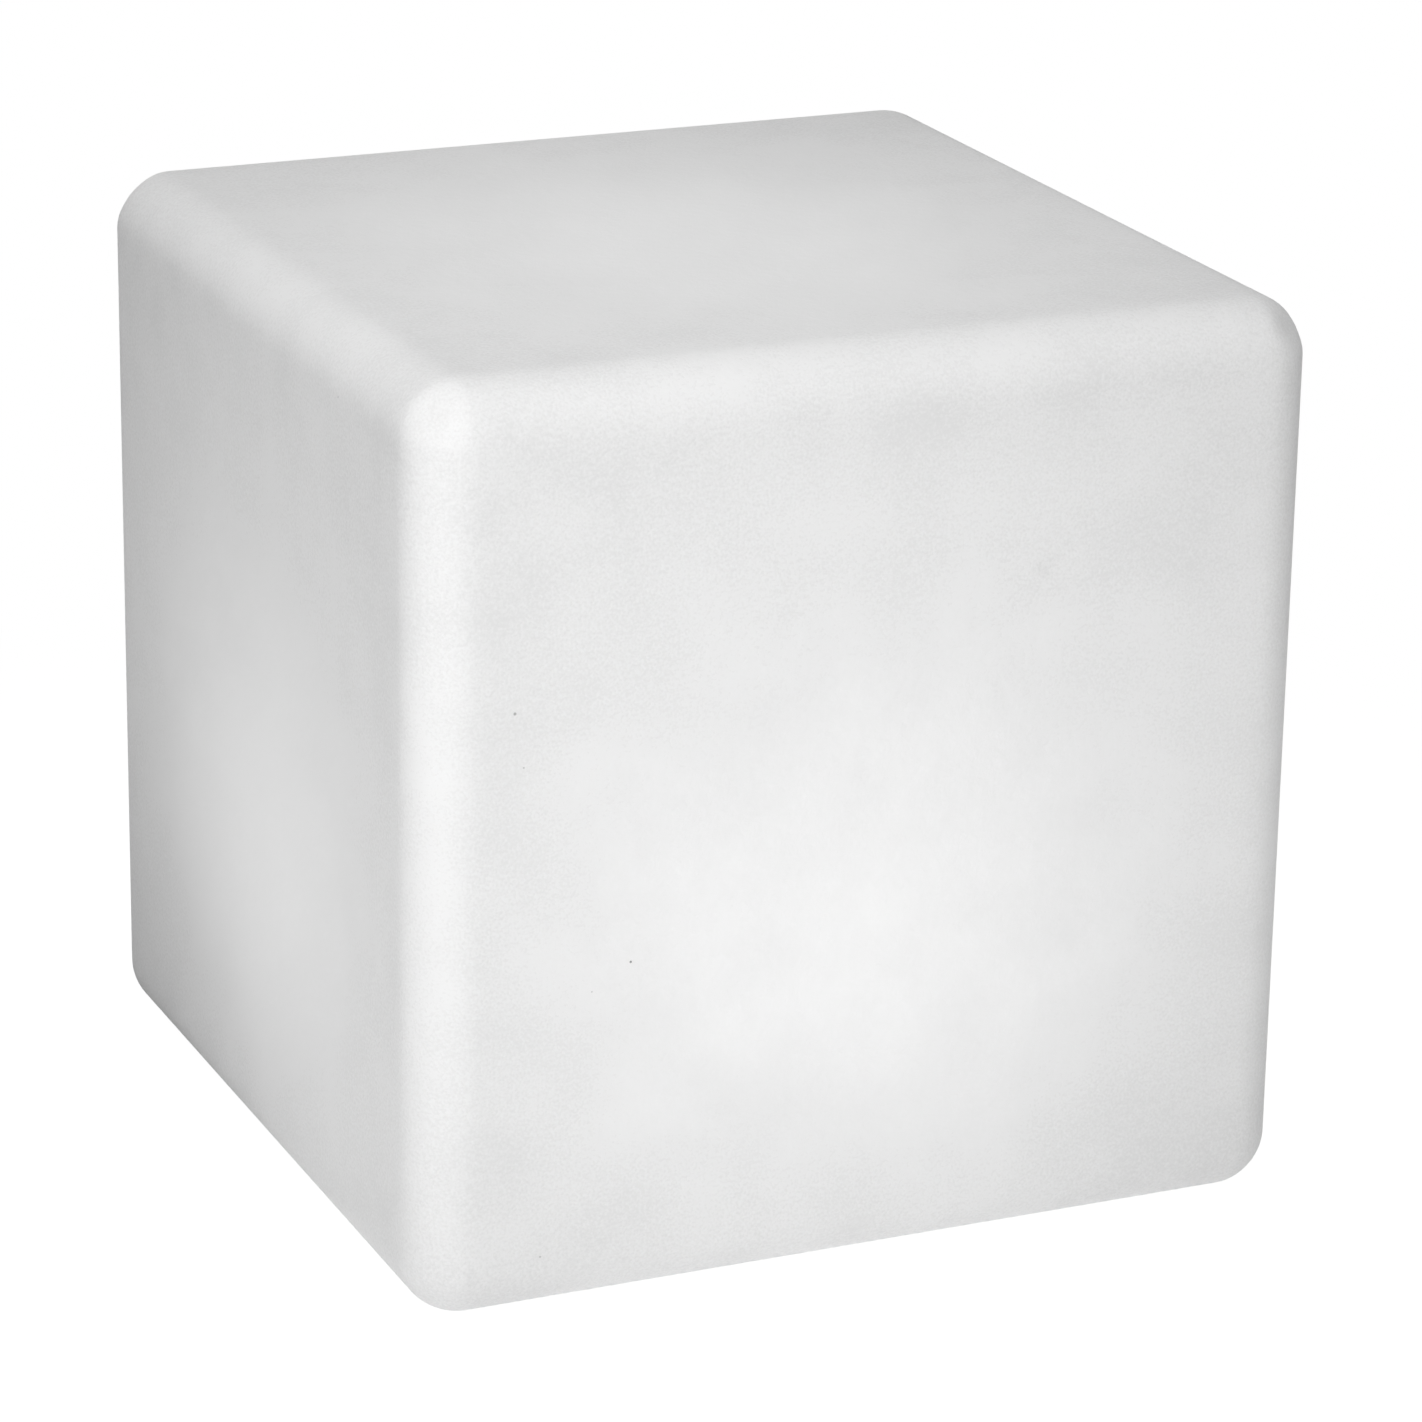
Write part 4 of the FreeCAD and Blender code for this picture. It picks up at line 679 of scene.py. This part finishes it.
def plain_finish(
    name,
    colour,
    roughness,
    metallic=0.0,
    grain=(0.0004, 0.0015),
    depth=0.00002,
    mottle=(0.02, 0.03),
    scuffs=(0.02, 0.3),
    scuff_colour=None,
    lines=None,
    edge=None,
):
    """Moulded or drawn grain, uneven colour and sheen, scuffs from handling, rubbed edges.

    Grain is its pits' and its waves' size, mottle a size and how far it changes the colour, scuffs
    a length and an amount, lines (across, pitch, share), and edge (width, colour, roughness).
    """
    material, tree, shader, position = new_material(name)
    grain_size, wave_size = grain
    mottle_size, spread = mottle
    surface = use_group(
        tree,
        grain_group,
        {
            "Position": position,
            "Grain Size": grain_size,
            "Wave Size": wave_size,
            "Mottle Size": mottle_size,
        },
    )
    scratches = use_group(
        tree, scuff_group, {"Position": position, "Length": scuffs[0], "Amount": scuffs[1]}
    )["Scratches"]
    tone = tinted(tree, colour, surface["Mottle"], spread)
    tree.links.new(tone, shader.inputs["Base Color"])
    if scuff_colour:
        cover(tree, shader, scratches, scuff_colour)
    rough = ramp(tree, surface["Mottle"], 0.0, 1.0, *roughness)
    rough = sum_up(tree, "MULTIPLY_ADD", scratches, scratch_dulling, rough)
    tree.links.new(rough, shader.inputs["Roughness"])
    shader.inputs["Metallic"].default_value = metallic
    bump(tree, shader, surface["Height"], depth)
    add_to_bump(tree, shader, scratches, -scratch_sink)
    if lines:
        across, pitch, share = lines
        sockets = {"Position": position, "Across": across, "Pitch": pitch}
        add_to_bump(tree, shader, use_group(tree, line_group, sockets)["Lines"], share)
    if edge:
        width, edge_colour, edge_roughness = edge
        rubbed = use_group(tree, edge_group, {"Position": position, "Width": width})["Rubbed"]
        cover(tree, shader, rubbed, edge_colour)
        change_where(tree, shader, "Roughness", rubbed, edge_roughness)
    return material, tree, shader, position


# lines run along the ways where the first three numbers are small
turned_lines = ((0.02, 0.02, 1.0), 0.00012, 2.0)
rolled_lines = ((1.0, 0.02, 0.5), 0.00015, 2.5)
brushed_lines = ((0.012, 1.0, 1.0), 0.00025, 3.0)

lead_sheath = {"roughness": (0.30, 0.46), "grain": (0.0002, 0.004)}
plain_finishes = {
    "brass": {
        "colour": (0.80, 0.60, 0.28),
        "roughness": (0.22, 0.40),
        "metallic": 1.0,
        "mottle": (0.005, 0.10),
        "scuff_colour": (0.46, 0.31, 0.13),
        "lines": turned_lines,
        "edge": (0.0002, (0.92, 0.76, 0.44), 0.16),
    },
    "foot_rubber": {
        "colour": (0.045, 0.045, 0.047),
        "roughness": (0.70, 0.88),
        "grain": (0.0005, 0.002),
        "depth": 0.00004,
        "mottle": (0.006, 0.12),
        "scuffs": (0.02, 0.6),
        "scuff_colour": (0.17, 0.165, 0.16),
        "edge": (0.0006, (0.13, 0.127, 0.122), 0.92),
    },
    "zinc_steel": {
        "colour": (0.66, 0.68, 0.71),
        "roughness": (0.22, 0.42),
        "metallic": 1.0,
        "mottle": (0.003, 0.12),
        "scuffs": (0.008, 0.6),
        "scuff_colour": (0.78, 0.76, 0.66),
        "lines": turned_lines,
        "edge": (0.0002, (0.86, 0.87, 0.88), 0.18),
    },
    "gasket_silicone": {
        "colour": (0.60, 0.61, 0.62),
        "roughness": (0.48, 0.64),
        "grain": (0.0006, 0.003),
        "mottle": (0.015, 0.05),
        "edge": (0.0003, (0.70, 0.71, 0.72), 0.7),
    },
    "cradle_abs": {
        "colour": (0.055, 0.055, 0.058),
        "roughness": (0.42, 0.58),
        "grain": (0.0003, 0.0015),
        "depth": 0.00003,
        "scuff_colour": (0.12, 0.12, 0.12),
        "edge": (0.0003, (0.14, 0.14, 0.145), 0.35),
    },
    "chip_black": {
        "colour": (0.028, 0.028, 0.030),
        "roughness": (0.48, 0.62),
        "grain": (0.00012, 0.0006),
        "mottle": (0.003, 0.10),
        "scuffs": (0.006, 0.3),
        "scuff_colour": (0.09, 0.09, 0.09),
        "edge": (0.0002, (0.10, 0.10, 0.10), 0.4),
    },
    "connector_nylon": {
        "colour": (0.80, 0.77, 0.68),
        "roughness": (0.34, 0.50),
        "grain": (0.0002, 0.001),
        "mottle": (0.004, 0.04),
        "edge": (0.0002, (0.90, 0.88, 0.82), 0.3),
    },
    "spreader_aluminium": {
        "colour": (0.80, 0.81, 0.82),
        "roughness": (0.28, 0.44),
        "metallic": 1.0,
        "scuffs": (0.02, 0.8),
        "lines": brushed_lines,
        "edge": (0.0003, (0.94, 0.94, 0.95), 0.2),
    },
    "led_white": {
        "colour": (0.86, 0.86, 0.83),
        "roughness": (0.26, 0.40),
        "grain": (0.0001, 0.0005),
        "mottle": (0.0015, 0.03),
        "scuffs": (0.004, 0.1),
    },
    "cover_rubber": {
        "colour": (0.050, 0.050, 0.053),
        "roughness": (0.60, 0.78),
        "grain": (0.00035, 0.0016),
        "depth": 0.00003,
        "scuff_colour": (0.14, 0.138, 0.135),
        "edge": (0.0004, (0.12, 0.118, 0.115), 0.8),
    },
    "button_abs": {
        "colour": (0.60, 0.61, 0.62),
        "roughness": (0.34, 0.50),
        "grain": (0.00025, 0.0012),
        "mottle": (0.006, 0.04),
        "scuffs": (0.008, 0.5),
        "scuff_colour": (0.50, 0.50, 0.50),
        "edge": (0.0004, (0.72, 0.73, 0.74), 0.22),
    },
    "spring_steel": {
        "colour": (0.60, 0.60, 0.58),
        "roughness": (0.20, 0.34),
        "metallic": 1.0,
        "mottle": (0.002, 0.12),
        "lines": ((1.0, 1.0, 0.05), 0.00012, 2.0),
    },
    "switch_black": {
        "colour": (0.032, 0.032, 0.034),
        "roughness": (0.38, 0.54),
        "grain": (0.00012, 0.0006),
        "edge": (0.00015, (0.10, 0.10, 0.10), 0.3),
    },
    "switch_plunger": {
        "colour": (0.50, 0.03, 0.03),
        "roughness": (0.32, 0.46),
        "grain": (0.0001, 0.0005),
        "edge": (0.00015, (0.66, 0.10, 0.09), 0.3),
    },
    "red_lead": {**lead_sheath, "colour": (0.56, 0.03, 0.03), "mottle": (0.004, 0.08)},
    "black_lead": {**lead_sheath, "colour": (0.028, 0.028, 0.028), "mottle": (0.004, 0.10)},
    "grey_lead": {**lead_sheath, "colour": (0.36, 0.37, 0.38), "mottle": (0.004, 0.06)},
}

# turn marks cut 0.4 mm deep, as x, y, radius and the level of their floors, in metres
turn_marks = (
    (0.01570, 0.07385, 0.0017, 0.0274),
    (0.06538, 0.03775, 0.0017, 0.0274),
    (0.01357, 0.06382, 0.0040, 0.0236),
)
mark_grey = (0.11, 0.11, 0.115)
mark_roughness = 0.55


def white_abs():
    """White ABS of the ring, the pod and the grip bar, with its turn marks painted grey."""
    material, tree, shader, position = plain_finish(
        "white_abs",
        colour=(0.80, 0.80, 0.785),
        roughness=(0.34, 0.48),
        grain=(0.00035, 0.0018),
        depth=0.00003,
        mottle=(0.02, 0.02),
        scuffs=(0.03, 0.5),
        scuff_colour=(0.68, 0.68, 0.67),
        edge=(0.0004, (0.88, 0.88, 0.87), 0.28),
    )
    for x, y, radius, level in turn_marks:
        painted = disc_at_level(tree, position, (x, y), radius, level)
        cover(tree, shader, painted, mark_grey)
        change_where(tree, shader, "Roughness", painted, mark_roughness)
    return material


cell_rows_y = (-0.0149, 0.0041)
cell_middle_z = 0.0375
cell_half_length = 0.0325
sleeve_end_radius = 0.0074
sleeve_end_depth = 0.0015
sleeve_wrap = 0.0030
sleeve_seam = (0.0031, 0.00025)  # its level above the middle of the cells, and half its width
wrinkle_share = 8.0


def cell_sleeve():
    """Shrunk blue sleeves, wrinkled where they turn in over the cells' nickel ends."""
    material, tree, shader, position = plain_finish(
        "cell_sleeve",
        colour=(0.035, 0.16, 0.40),
        roughness=(0.20, 0.32),
        grain=(0.0009, 0.009),
        depth=0.00005,
        mottle=(0.01, 0.08),
        scuffs=(0.02, 0.4),
        scuff_colour=(0.12, 0.26, 0.50),
    )
    x, y, z = place_parts(tree, position)
    from_middle = sum_up(tree, "ABSOLUTE", x)
    level = sum_up(tree, "SUBTRACT", z, cell_middle_z)
    reaches = []
    for row in cell_rows_y:
        side = sum_up(tree, "SUBTRACT", y, row)
        squares = sum_up(tree, "MULTIPLY_ADD", level, level, sum_up(tree, "MULTIPLY", side, side))
        reaches.append(sum_up(tree, "SQRT", squares))
    reach = sum_up(tree, "MINIMUM", *reaches)
    beyond = sum_up(tree, "GREATER_THAN", from_middle, cell_half_length - sleeve_end_depth)
    bare = sum_up(tree, "MULTIPLY", beyond, sum_up(tree, "LESS_THAN", reach, sleeve_end_radius))
    cover(tree, shader, sum_up(tree, "COMPARE", level, *sleeve_seam), (0.05, 0.22, 0.50))
    cover(tree, shader, bare, (0.72, 0.70, 0.66))
    change_where(tree, shader, "Metallic", bare, 1.0)
    change_where(tree, shader, "Roughness", bare, 0.28)
    wrinkles = use_group(
        tree, line_group, {"Position": position, "Across": (0.1, 1.0, 1.0), "Pitch": 0.0011}
    )["Lines"]
    near_end = ramp(tree, from_middle, cell_half_length - sleeve_wrap, cell_half_length)
    add_to_bump(tree, shader, sum_up(tree, "MULTIPLY", wrinkles, near_end), wrinkle_share)
    return material


weld_radius = 0.0009
weld_rises = (-0.0017, 0.0017)
strip_thickness = 0.0003


def nickel():
    """Rolled nickel strip, pins and nut, with spot welds where the strip meets the cells."""
    material, tree, shader, position = plain_finish(
        "nickel",
        colour=(0.74, 0.72, 0.68),
        roughness=(0.18, 0.32),
        metallic=1.0,
        mottle=(0.003, 0.08),
        scuffs=(0.006, 0.5),
        scuff_colour=(0.56, 0.53, 0.48),
        lines=rolled_lines,
        edge=(0.00015, (0.88, 0.86, 0.82), 0.14),
    )
    x, y, z = place_parts(tree, position)
    either_end = {"X": sum_up(tree, "ABSOLUTE", x), "Y": y, "Z": z}
    folded = put(tree, "ShaderNodeCombineXYZ", either_end).outputs[0]
    places = [
        (cell_half_length + strip_thickness, row, cell_middle_z + rise, weld_radius, 1.0)
        for row in cell_rows_y
        for rise in weld_rises
    ]
    burnt = sum_up(tree, "MINIMUM", spots(tree, folded, places), 1.0)
    cover(tree, shader, burnt, (0.26, 0.22, 0.20))
    change_where(tree, shader, "Roughness", burnt, 0.5)
    return material


track_share = 2.0


def board(name, colour, track_colour, hole_colour, pitch):
    """A circuit board: solder mask over raised tracks, and plated holes left bare."""
    material, tree, shader, position = plain_finish(
        name,
        colour=colour,
        roughness=(0.24, 0.38),
        grain=(0.0003, 0.002),
        mottle=(0.01, 0.05),
        scuffs=(0.01, 0.1),
    )
    tracks = use_group(tree, track_group, {"Position": position, "Pitch": pitch})
    cover(tree, shader, tracks["Tracks"], track_colour)
    cover(tree, shader, tracks["Holes"], hole_colour)
    change_where(tree, shader, "Metallic", tracks["Holes"], 1.0)
    add_to_bump(tree, shader, tracks["Tracks"], track_share)
    return material


def green_board():
    return board("green_board", (0.012, 0.13, 0.05), (0.03, 0.24, 0.10), (0.78, 0.74, 0.62), 0.0012)


def white_board():
    return board("white_board", (0.84, 0.84, 0.82), (0.76, 0.76, 0.73), (0.70, 0.64, 0.50), 0.0024)


can_middle_x = -0.034
can_rows_y = (-0.0055, 0.0055)
can_top = 0.0613
can_sleeve_stop = 0.0606
can_stripe_from = 0.0035
score_half_width = 0.0002
score_depth = 0.0003


def capacitor_can():
    """Capacitors in a dark sleeve with a pale stripe, and a bare top whose scored cross is painted
    shade, a darker grey.
    """
    material, tree, shader, position = plain_finish(
        "capacitor_can",
        colour=(0.74, 0.75, 0.76),
        roughness=(0.22, 0.36),
        metallic=1.0,
        mottle=(0.003, 0.06),
        scuffs=(0.004, 0.3),
        lines=turned_lines,
    )
    x, y, z = place_parts(tree, position)
    sleeved = sum_up(tree, "LESS_THAN", z, can_sleeve_stop)
    cover(tree, shader, sleeved, (0.03, 0.035, 0.06))
    change_where(tree, shader, "Metallic", sleeved, 0.0)
    stripe = sum_up(tree, "LESS_THAN", x, can_middle_x - can_stripe_from)
    cover(tree, shader, sum_up(tree, "MULTIPLY", stripe, sleeved), (0.55, 0.56, 0.58))
    # painted shade: the scored cross on the bare top is coloured darker grey, as if its grooves
    # were in shade
    painted_score_shade = sum_up(tree, "COMPARE", x, can_middle_x, score_half_width)
    for row in can_rows_y:
        across = sum_up(tree, "COMPARE", y, row, score_half_width)
        painted_score_shade = sum_up(tree, "MAXIMUM", painted_score_shade, across)
    on_top = sum_up(tree, "GREATER_THAN", z, can_top - score_depth)
    cover(tree, shader, sum_up(tree, "MULTIPLY", painted_score_shade, on_top), (0.30, 0.30, 0.31))
    return material


def lit_finish(name, light, cloud_size, strength, low, **values):
    """A finish that gives off light unevenly, not counted as a lamp, since the shell hides it."""
    material, tree, shader, position = plain_finish(name, **values)
    cloud = clouds(tree, scaled(tree, position, cloud_size), 1.0)
    shade = blended(tree, cloud, opaque(c * low for c in light), opaque(light))
    tree.links.new(shade, shader.inputs["Emission Color"])
    shader.inputs["Emission Strength"].default_value = strength
    material.cycles.emission_sampling = "NONE"
    return material


def frosted_dome():
    """The pod's frosted cover, lit from inside."""
    return lit_finish(
        "frosted_dome",
        light=(1.0, 0.97, 0.92),
        cloud_size=0.02,
        strength=0.35,
        low=0.75,
        colour=(0.80, 0.81, 0.82),
        roughness=(0.46, 0.60),
        grain=(0.0003, 0.002),
        depth=0.00003,
        scuffs=(0.02, 0.2),
        scuff_colour=(0.88, 0.88, 0.88),
        edge=(0.0005, (0.88, 0.89, 0.90), 0.4),
    )


def led_phosphor():
    """Yellow phosphor over the lit chips."""
    return lit_finish(
        "led_phosphor",
        light=(1.0, 0.92, 0.70),
        cloud_size=0.002,
        strength=0.6,
        low=0.7,
        colour=(0.85, 0.70, 0.15),
        roughness=(0.30, 0.44),
        grain=(0.0001, 0.0006),
        mottle=(0.001, 0.10),
        scuffs=(0.004, 0.0),
    )


def lamp_green():
    """The small green lamp behind the indicator's lens."""
    return lit_finish(
        "lamp_green",
        light=(0.10, 1.0, 0.22),
        cloud_size=0.002,
        strength=0.5,
        low=0.6,
        colour=(0.06, 0.55, 0.14),
        roughness=(0.14, 0.24),
        grain=(0.0001, 0.001),
        scuffs=(0.004, 0.0),
    )


def clear_lens():
    """Clear moulded lens, a little frosted by handling."""
    material, _, shader, _ = plain_finish(
        "clear_lens",
        colour=(0.92, 0.95, 0.93),
        roughness=(0.05, 0.14),
        grain=(0.0003, 0.002),
        depth=0.00001,
        scuffs=(0.004, 0.4),
        scuff_colour=(0.80, 0.82, 0.81),
    )
    shader.inputs["Transmission Weight"].default_value = 0.85
    return material


special_finishes = (
    shell_polyethylene,
    white_abs,
    cell_sleeve,
    nickel,
    green_board,
    white_board,
    capacitor_can,
    frosted_dome,
    led_phosphor,
    lamp_green,
    clear_lens,
)


def dress_nodes():
    """Give every CAD node the finish that its slot in the record names."""
    made = {name: plain_finish(name, **values)[0] for name, values in plain_finishes.items()}
    made.update({make.__name__: make() for make in special_finishes})
    for piece in nodes.values():
        slot = piece.data.materials[0].name.split(".")[0]
        piece.data.materials[0] = made[slot]
    return made


materials = dress_nodes()
skin = cube_skin()
skin.data.materials.append(materials["shell_polyethylene"])
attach(skin, "cube")
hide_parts("cube_shell")
feet = treaded_feet()
feet.data.materials.append(materials["foot_rubber"])
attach(feet, "cube")
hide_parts("rubber_feet")
spring, spring_seat, spring_height = coiled_spring()
spring.data.materials.append(materials["spring_steel"])
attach(spring, "light_pod")
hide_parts("button_spring")
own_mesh(spring)


# ------------------------------------ floor, studio light and camera
floor_side = 40.0
floor_level = -0.0005
shadow_ends = (0.30, 0.75)  # from the middle of the cube, where the shadow fades to plain white
near_white = 0.92
near_shadow = 0.25
bounce_line = (-0.15, 0.16)  # how far forward the floor's bounce goes from its least to its most
bounce = (0.20, 1.0)
fill_rim = (0.15, 0.23)
fill_beneath = 0.22

camera_azimuth = math.radians(-23.822)
camera_elevation = math.radians(19.223)
camera_roll = math.radians(0.921)
camera_distance = 2.4742
camera_aim_height = 0.202
camera_aim_right = 0.0120
camera_aim_down = 0.01736
lens_length = 142.0
sensor_width = 36.0
camera_reach = 100.0


def white_when_seen(tree):
    """1 for a ray from the camera, a mirror reflection or through glass, and 0 for the rest."""
    path = put(tree, "ShaderNodeLightPath").outputs
    seen = sum_up(tree, "MAXIMUM", path["Is Camera Ray"], path["Is Glossy Ray"])
    return sum_up(tree, "MAXIMUM", seen, path["Is Transmission Ray"])


def steady_light(tree, strength):
    sockets = {"Color": white_light, "Strength": strength}
    return put(tree, "ShaderNodeEmission", sockets).outputs[0]


def matt(tree, colour):
    return put(tree, "ShaderNodeBsdfDiffuse", {"Color": colour}).outputs[0]


def either(tree, share, first, second):
    """One surface where a share is 0, another where it is 1."""
    return put(tree, "ShaderNodeMixShader", {0: share, 1: first, 2: second}).outputs[0]


def both(tree, first, second):
    """Two surfaces added up."""
    return put(tree, "ShaderNodeAddShader", {0: first, 1: second}).outputs[0]


def studio_floor():
    """A pale floor that shows as white and keeps the cube's soft shadow close around it."""
    bpy.ops.mesh.primitive_plane_add(size=floor_side, location=(0, 0, floor_level))
    floor = bpy.context.object
    floor.name = "studio_floor"
    material = bpy.data.materials.new("studio_floor")
    material.use_nodes = True
    tree = material.node_tree
    tree.nodes.clear()
    position = put(tree, "ShaderNodeTexCoord").outputs["Object"]

    # what the camera sees: a little light and the cube's shadow near it, and plain white far off
    far = ramp(tree, vector_sum(tree, "LENGTH", position), *shadow_ends, smooth=True)
    shadowed = matt(tree, opaque([near_shadow] * 3))
    near = both(tree, steady_light(tree, near_white), shadowed)
    shown = either(tree, far, near, steady_light(tree, 1.0))

    # what lights the cube: a bounce that is stronger in front, and a fill right under the cube
    forward = vector_sum(tree, "DOT_PRODUCT", position, (0.0, -1.0, 0.0))
    pale = matt(tree, grey(tree, ramp(tree, forward, *bounce_line, *bounce, smooth=True)))
    sizes = place_parts(tree, vector_sum(tree, "ABSOLUTE", position))
    sideways = sum_up(tree, "MAXIMUM", sizes[0], sizes[1])
    beneath = ramp(tree, sideways, *fill_rim, fill_beneath, 0.0, smooth=True)
    plain = both(tree, pale, steady_light(tree, beneath))

    above = either(tree, white_when_seen(tree), plain, shown)
    from_below = put(tree, "ShaderNodeNewGeometry").outputs["Backfacing"]
    clear = put(tree, "ShaderNodeBsdfTransparent").outputs[0]
    put(tree, "ShaderNodeOutputMaterial", {"Surface": either(tree, from_below, above, clear)})
    floor.data.materials.append(material)


def studio_world():
    """Dim light from the whole room, uneven from side to side, that shows as white."""
    world = bpy.data.worlds.new("studio_world")
    bpy.context.scene.world = world
    world.use_nodes = True
    tree = world.node_tree
    tree.nodes.clear()
    direction = put(tree, "ShaderNodeTexCoord").outputs["Generated"]
    level = room_level
    for side, extra in room_sides:
        towards = vector_sum(tree, "DOT_PRODUCT", direction, side)
        lit = sum_up(tree, "MAXIMUM", towards, 0.0)
        level = sum_up(tree, "MULTIPLY_ADD", lit, extra, level)
    room, white = (
        put(tree, "ShaderNodeBackground", {"Color": white_light, "Strength": strength}).outputs[0]
        for strength in (level, 1.0)
    )
    mix = either(tree, white_when_seen(tree), room, white)
    put(tree, "ShaderNodeOutputWorld", {"Surface": mix})


def soft_lamp(name, place, size, power):
    """A square lamp that is turned towards the middle of the cube."""
    data = bpy.data.lights.new(name, "AREA")
    data.shape = "SQUARE"
    data.size = size
    data.energy = power
    lamp = bpy.data.objects.new(name, data)
    lamp.location = place
    direction = Vector((0.0, 0.0, shell_middle)) - Vector(place)
    lamp.rotation_euler = direction.to_track_quat("-Z", "Y").to_euler()
    bpy.context.scene.collection.objects.link(lamp)


def photo_camera():
    """The photograph's viewpoint: ahead and to the left, above the cube, with a long lens."""
    back = Vector(
        (
            math.sin(camera_azimuth) * math.cos(camera_elevation),
            -math.cos(camera_azimuth) * math.cos(camera_elevation),
            math.sin(camera_elevation),
        )
    )
    level_right = (-back).cross(Vector((0, 0, 1))).normalized()
    level_up = level_right.cross(-back)
    right = level_right * math.cos(camera_roll) + level_up * math.sin(camera_roll)
    up = level_up * math.cos(camera_roll) - level_right * math.sin(camera_roll)
    aim = Vector((0, 0, camera_aim_height)) + right * camera_aim_right - up * camera_aim_down
    data = bpy.data.cameras.new("photo_camera")
    data.lens = lens_length
    data.sensor_width = sensor_width
    data.clip_end = camera_reach
    camera = bpy.data.objects.new("photo_camera", data)
    turned = Matrix((right, up, back)).transposed().to_4x4()
    camera.matrix_world = Matrix.Translation(aim + back * camera_distance) @ turned
    bpy.context.scene.collection.objects.link(camera)
    bpy.context.scene.camera = camera


studio_floor()
studio_world()
soft_lamp("key_lamp", key_place, key_size, key_power)
soft_lamp("overhead_lamp", overhead_place, overhead_size, overhead_power)
photo_camera()
bpy.context.scene.view_settings.view_transform = "Standard"
